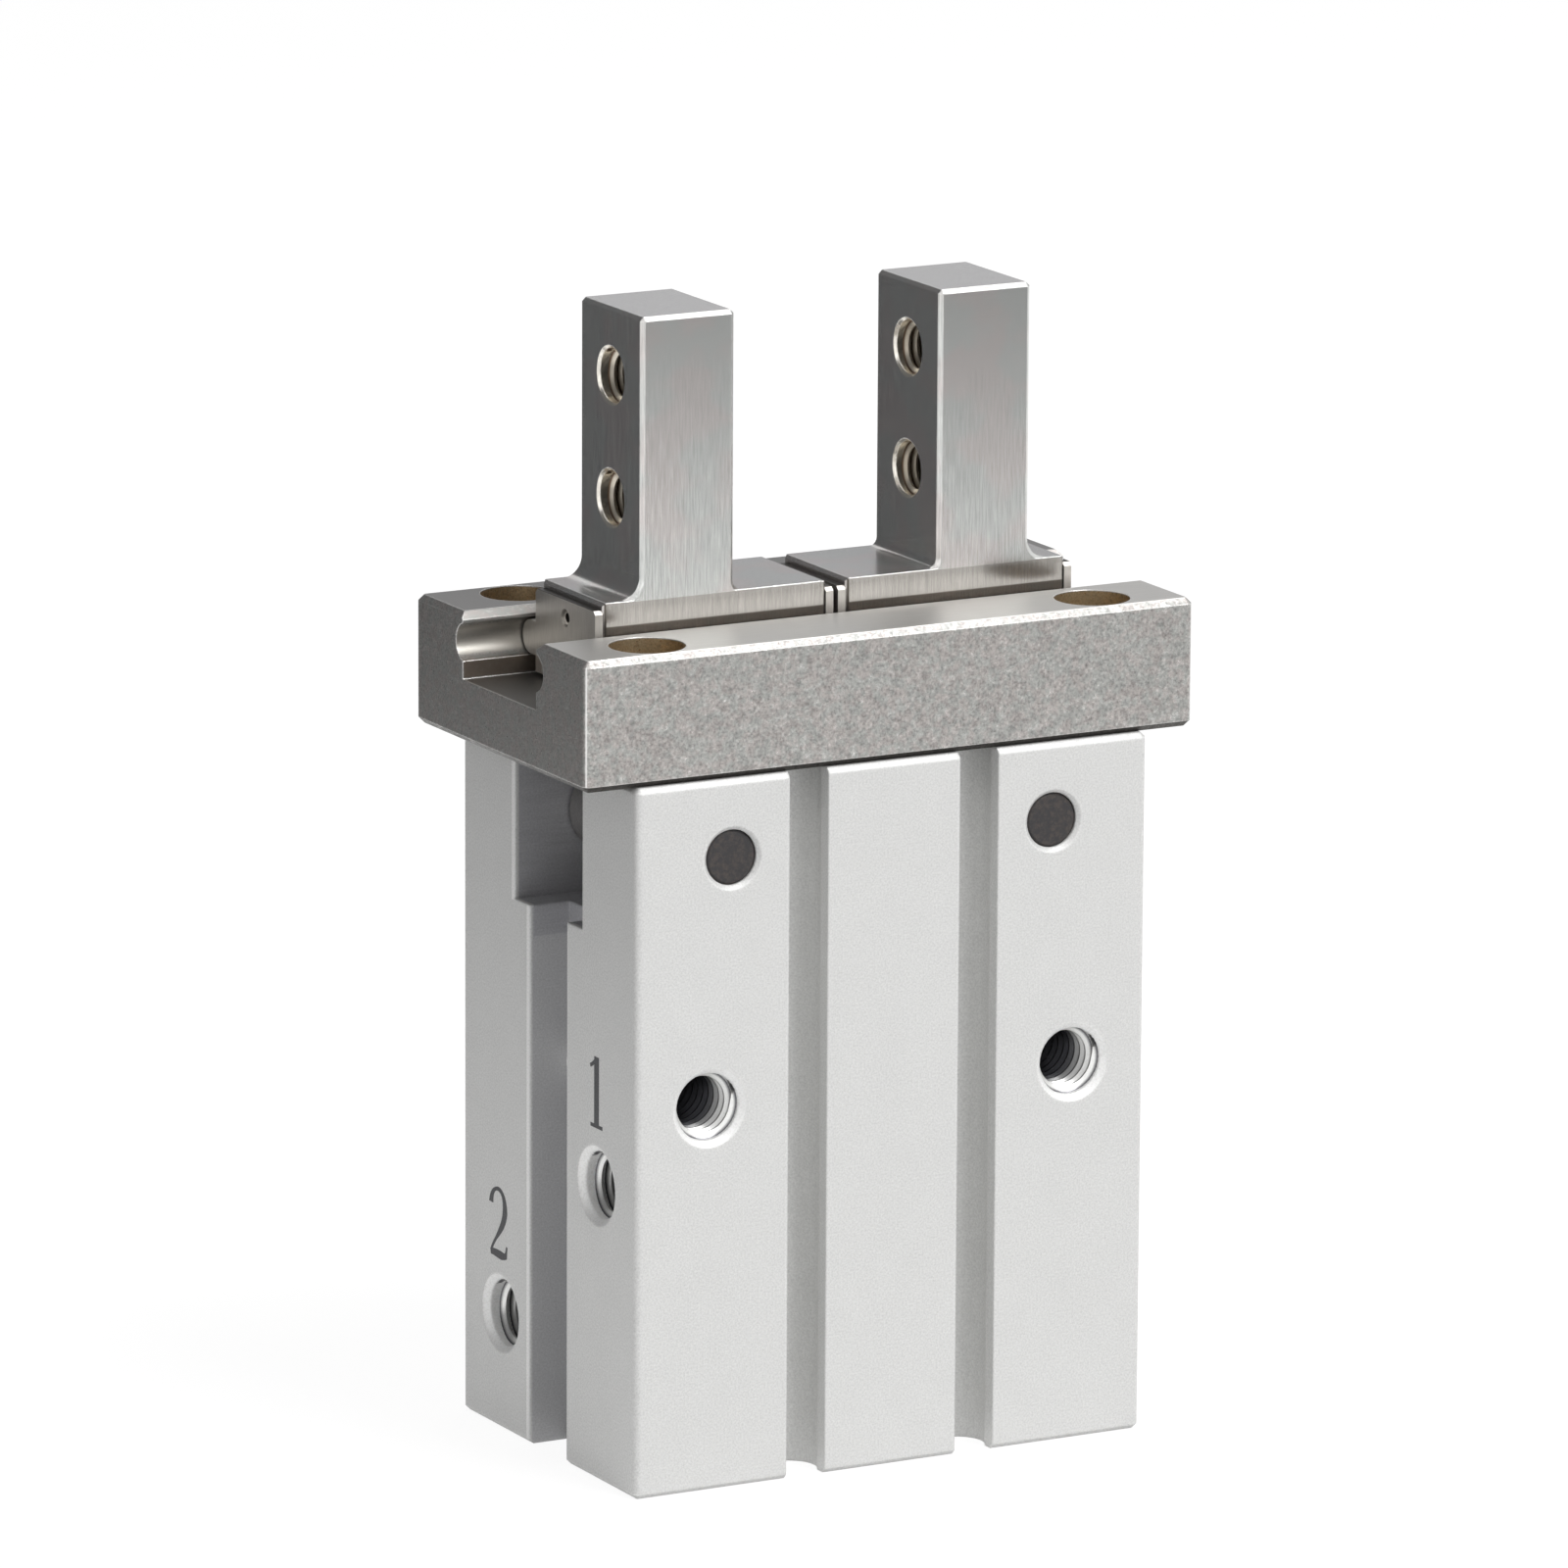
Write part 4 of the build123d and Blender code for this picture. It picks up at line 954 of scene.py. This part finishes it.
# A card is one sheet, bent along its profile of (way along its facing, height) in metres
cards = {
    "left": {"place": (-0.20, 0.16, 0.0), "facing": (0.72, -0.62), "width": 0.62, "tone": 0.10,
             "profile": ((0.10, 0.001), (0.0, 0.001), (0.0, 0.50))},
    "floor": {"place": (0.0, 0.0, 0.0), "facing": (0.47, -0.88), "width": 0.90, "tone": 0.05,
              "profile": ((0.355, 0.002), (1.0, 0.002))},
    "back": {"place": (0.27, 0.50, 0.0), "facing": (-0.47, -0.88), "width": 0.90, "tone": 0.42,
             "profile": ((0.10, 0.001), (0.0, 0.001), (0.0, 0.34))},
}


def makeCard(name, card):
    # Dark, and seen only in reflections
    material = bpy.data.materials.new(name + " card")
    material.use_nodes = True
    tree = material.node_tree
    tree.nodes.clear()
    glow = addNode(tree, "Emission")
    glow.inputs["Color"].default_value = (card["tone"], card["tone"], card["tone"] * 1.03, 1.0)
    output = addNode(tree, "OutputMaterial")
    tree.links.new(glow.outputs[0], output.inputs["Surface"])
    facing = Vector((*card["facing"], 0)).normalized()
    along = Vector((-facing.y, facing.x, 0)) * card["width"] / 2
    mesh = bmesh.new()
    pairs = []
    for way, height in card["profile"]:
        point = Vector(card["place"]) + facing * way + Vector((0, 0, height))
        pairs.append((mesh.verts.new(point - along), mesh.verts.new(point + along)))
    for (a, b), (c, d) in zip(pairs, pairs[1:]):
        mesh.faces.new((a, b, d, c))
    data = bpy.data.meshes.new(name + "Card")
    mesh.to_mesh(data)
    mesh.free()
    data.materials.append(material)
    piece = bpy.data.objects.new(name + "Card", data)
    bpy.context.scene.collection.objects.link(piece)
    piece.visible_camera = False
    piece.visible_diffuse = False
    piece.visible_shadow = False
    piece.visible_transmission = False


lamps = {
    "key": {"place": (0.31, -0.56, 0.80), "size": 0.55, "power": 6.8},
    "top": {"place": (0.05, 0.15, 0.95), "size": 0.70, "power": 1.6},
    "fill": {"place": (-0.85, -0.45, 0.35), "size": 0.60, "power": 0.36},
}


def makeLamp(name, lamp):
    data = bpy.data.lights.new(name, "AREA")
    data.size = lamp["size"]
    data.energy = lamp["power"]
    holder = bpy.data.objects.new(name, data)
    bpy.context.scene.collection.objects.link(holder)
    holder.location = lamp["place"]
    aim = Vector((0, 0, 0.045)) - holder.location
    holder.rotation_mode = "QUATERNION"
    holder.rotation_quaternion = aim.to_track_quat("-Z", "Y")


makeWorld(studioLook)
makeFloor(studioLook)
for name, card in cards.items():
    makeCard(name, card)
for name, lamp in lamps.items():
    makeLamp(name, lamp)
print("studio lit")
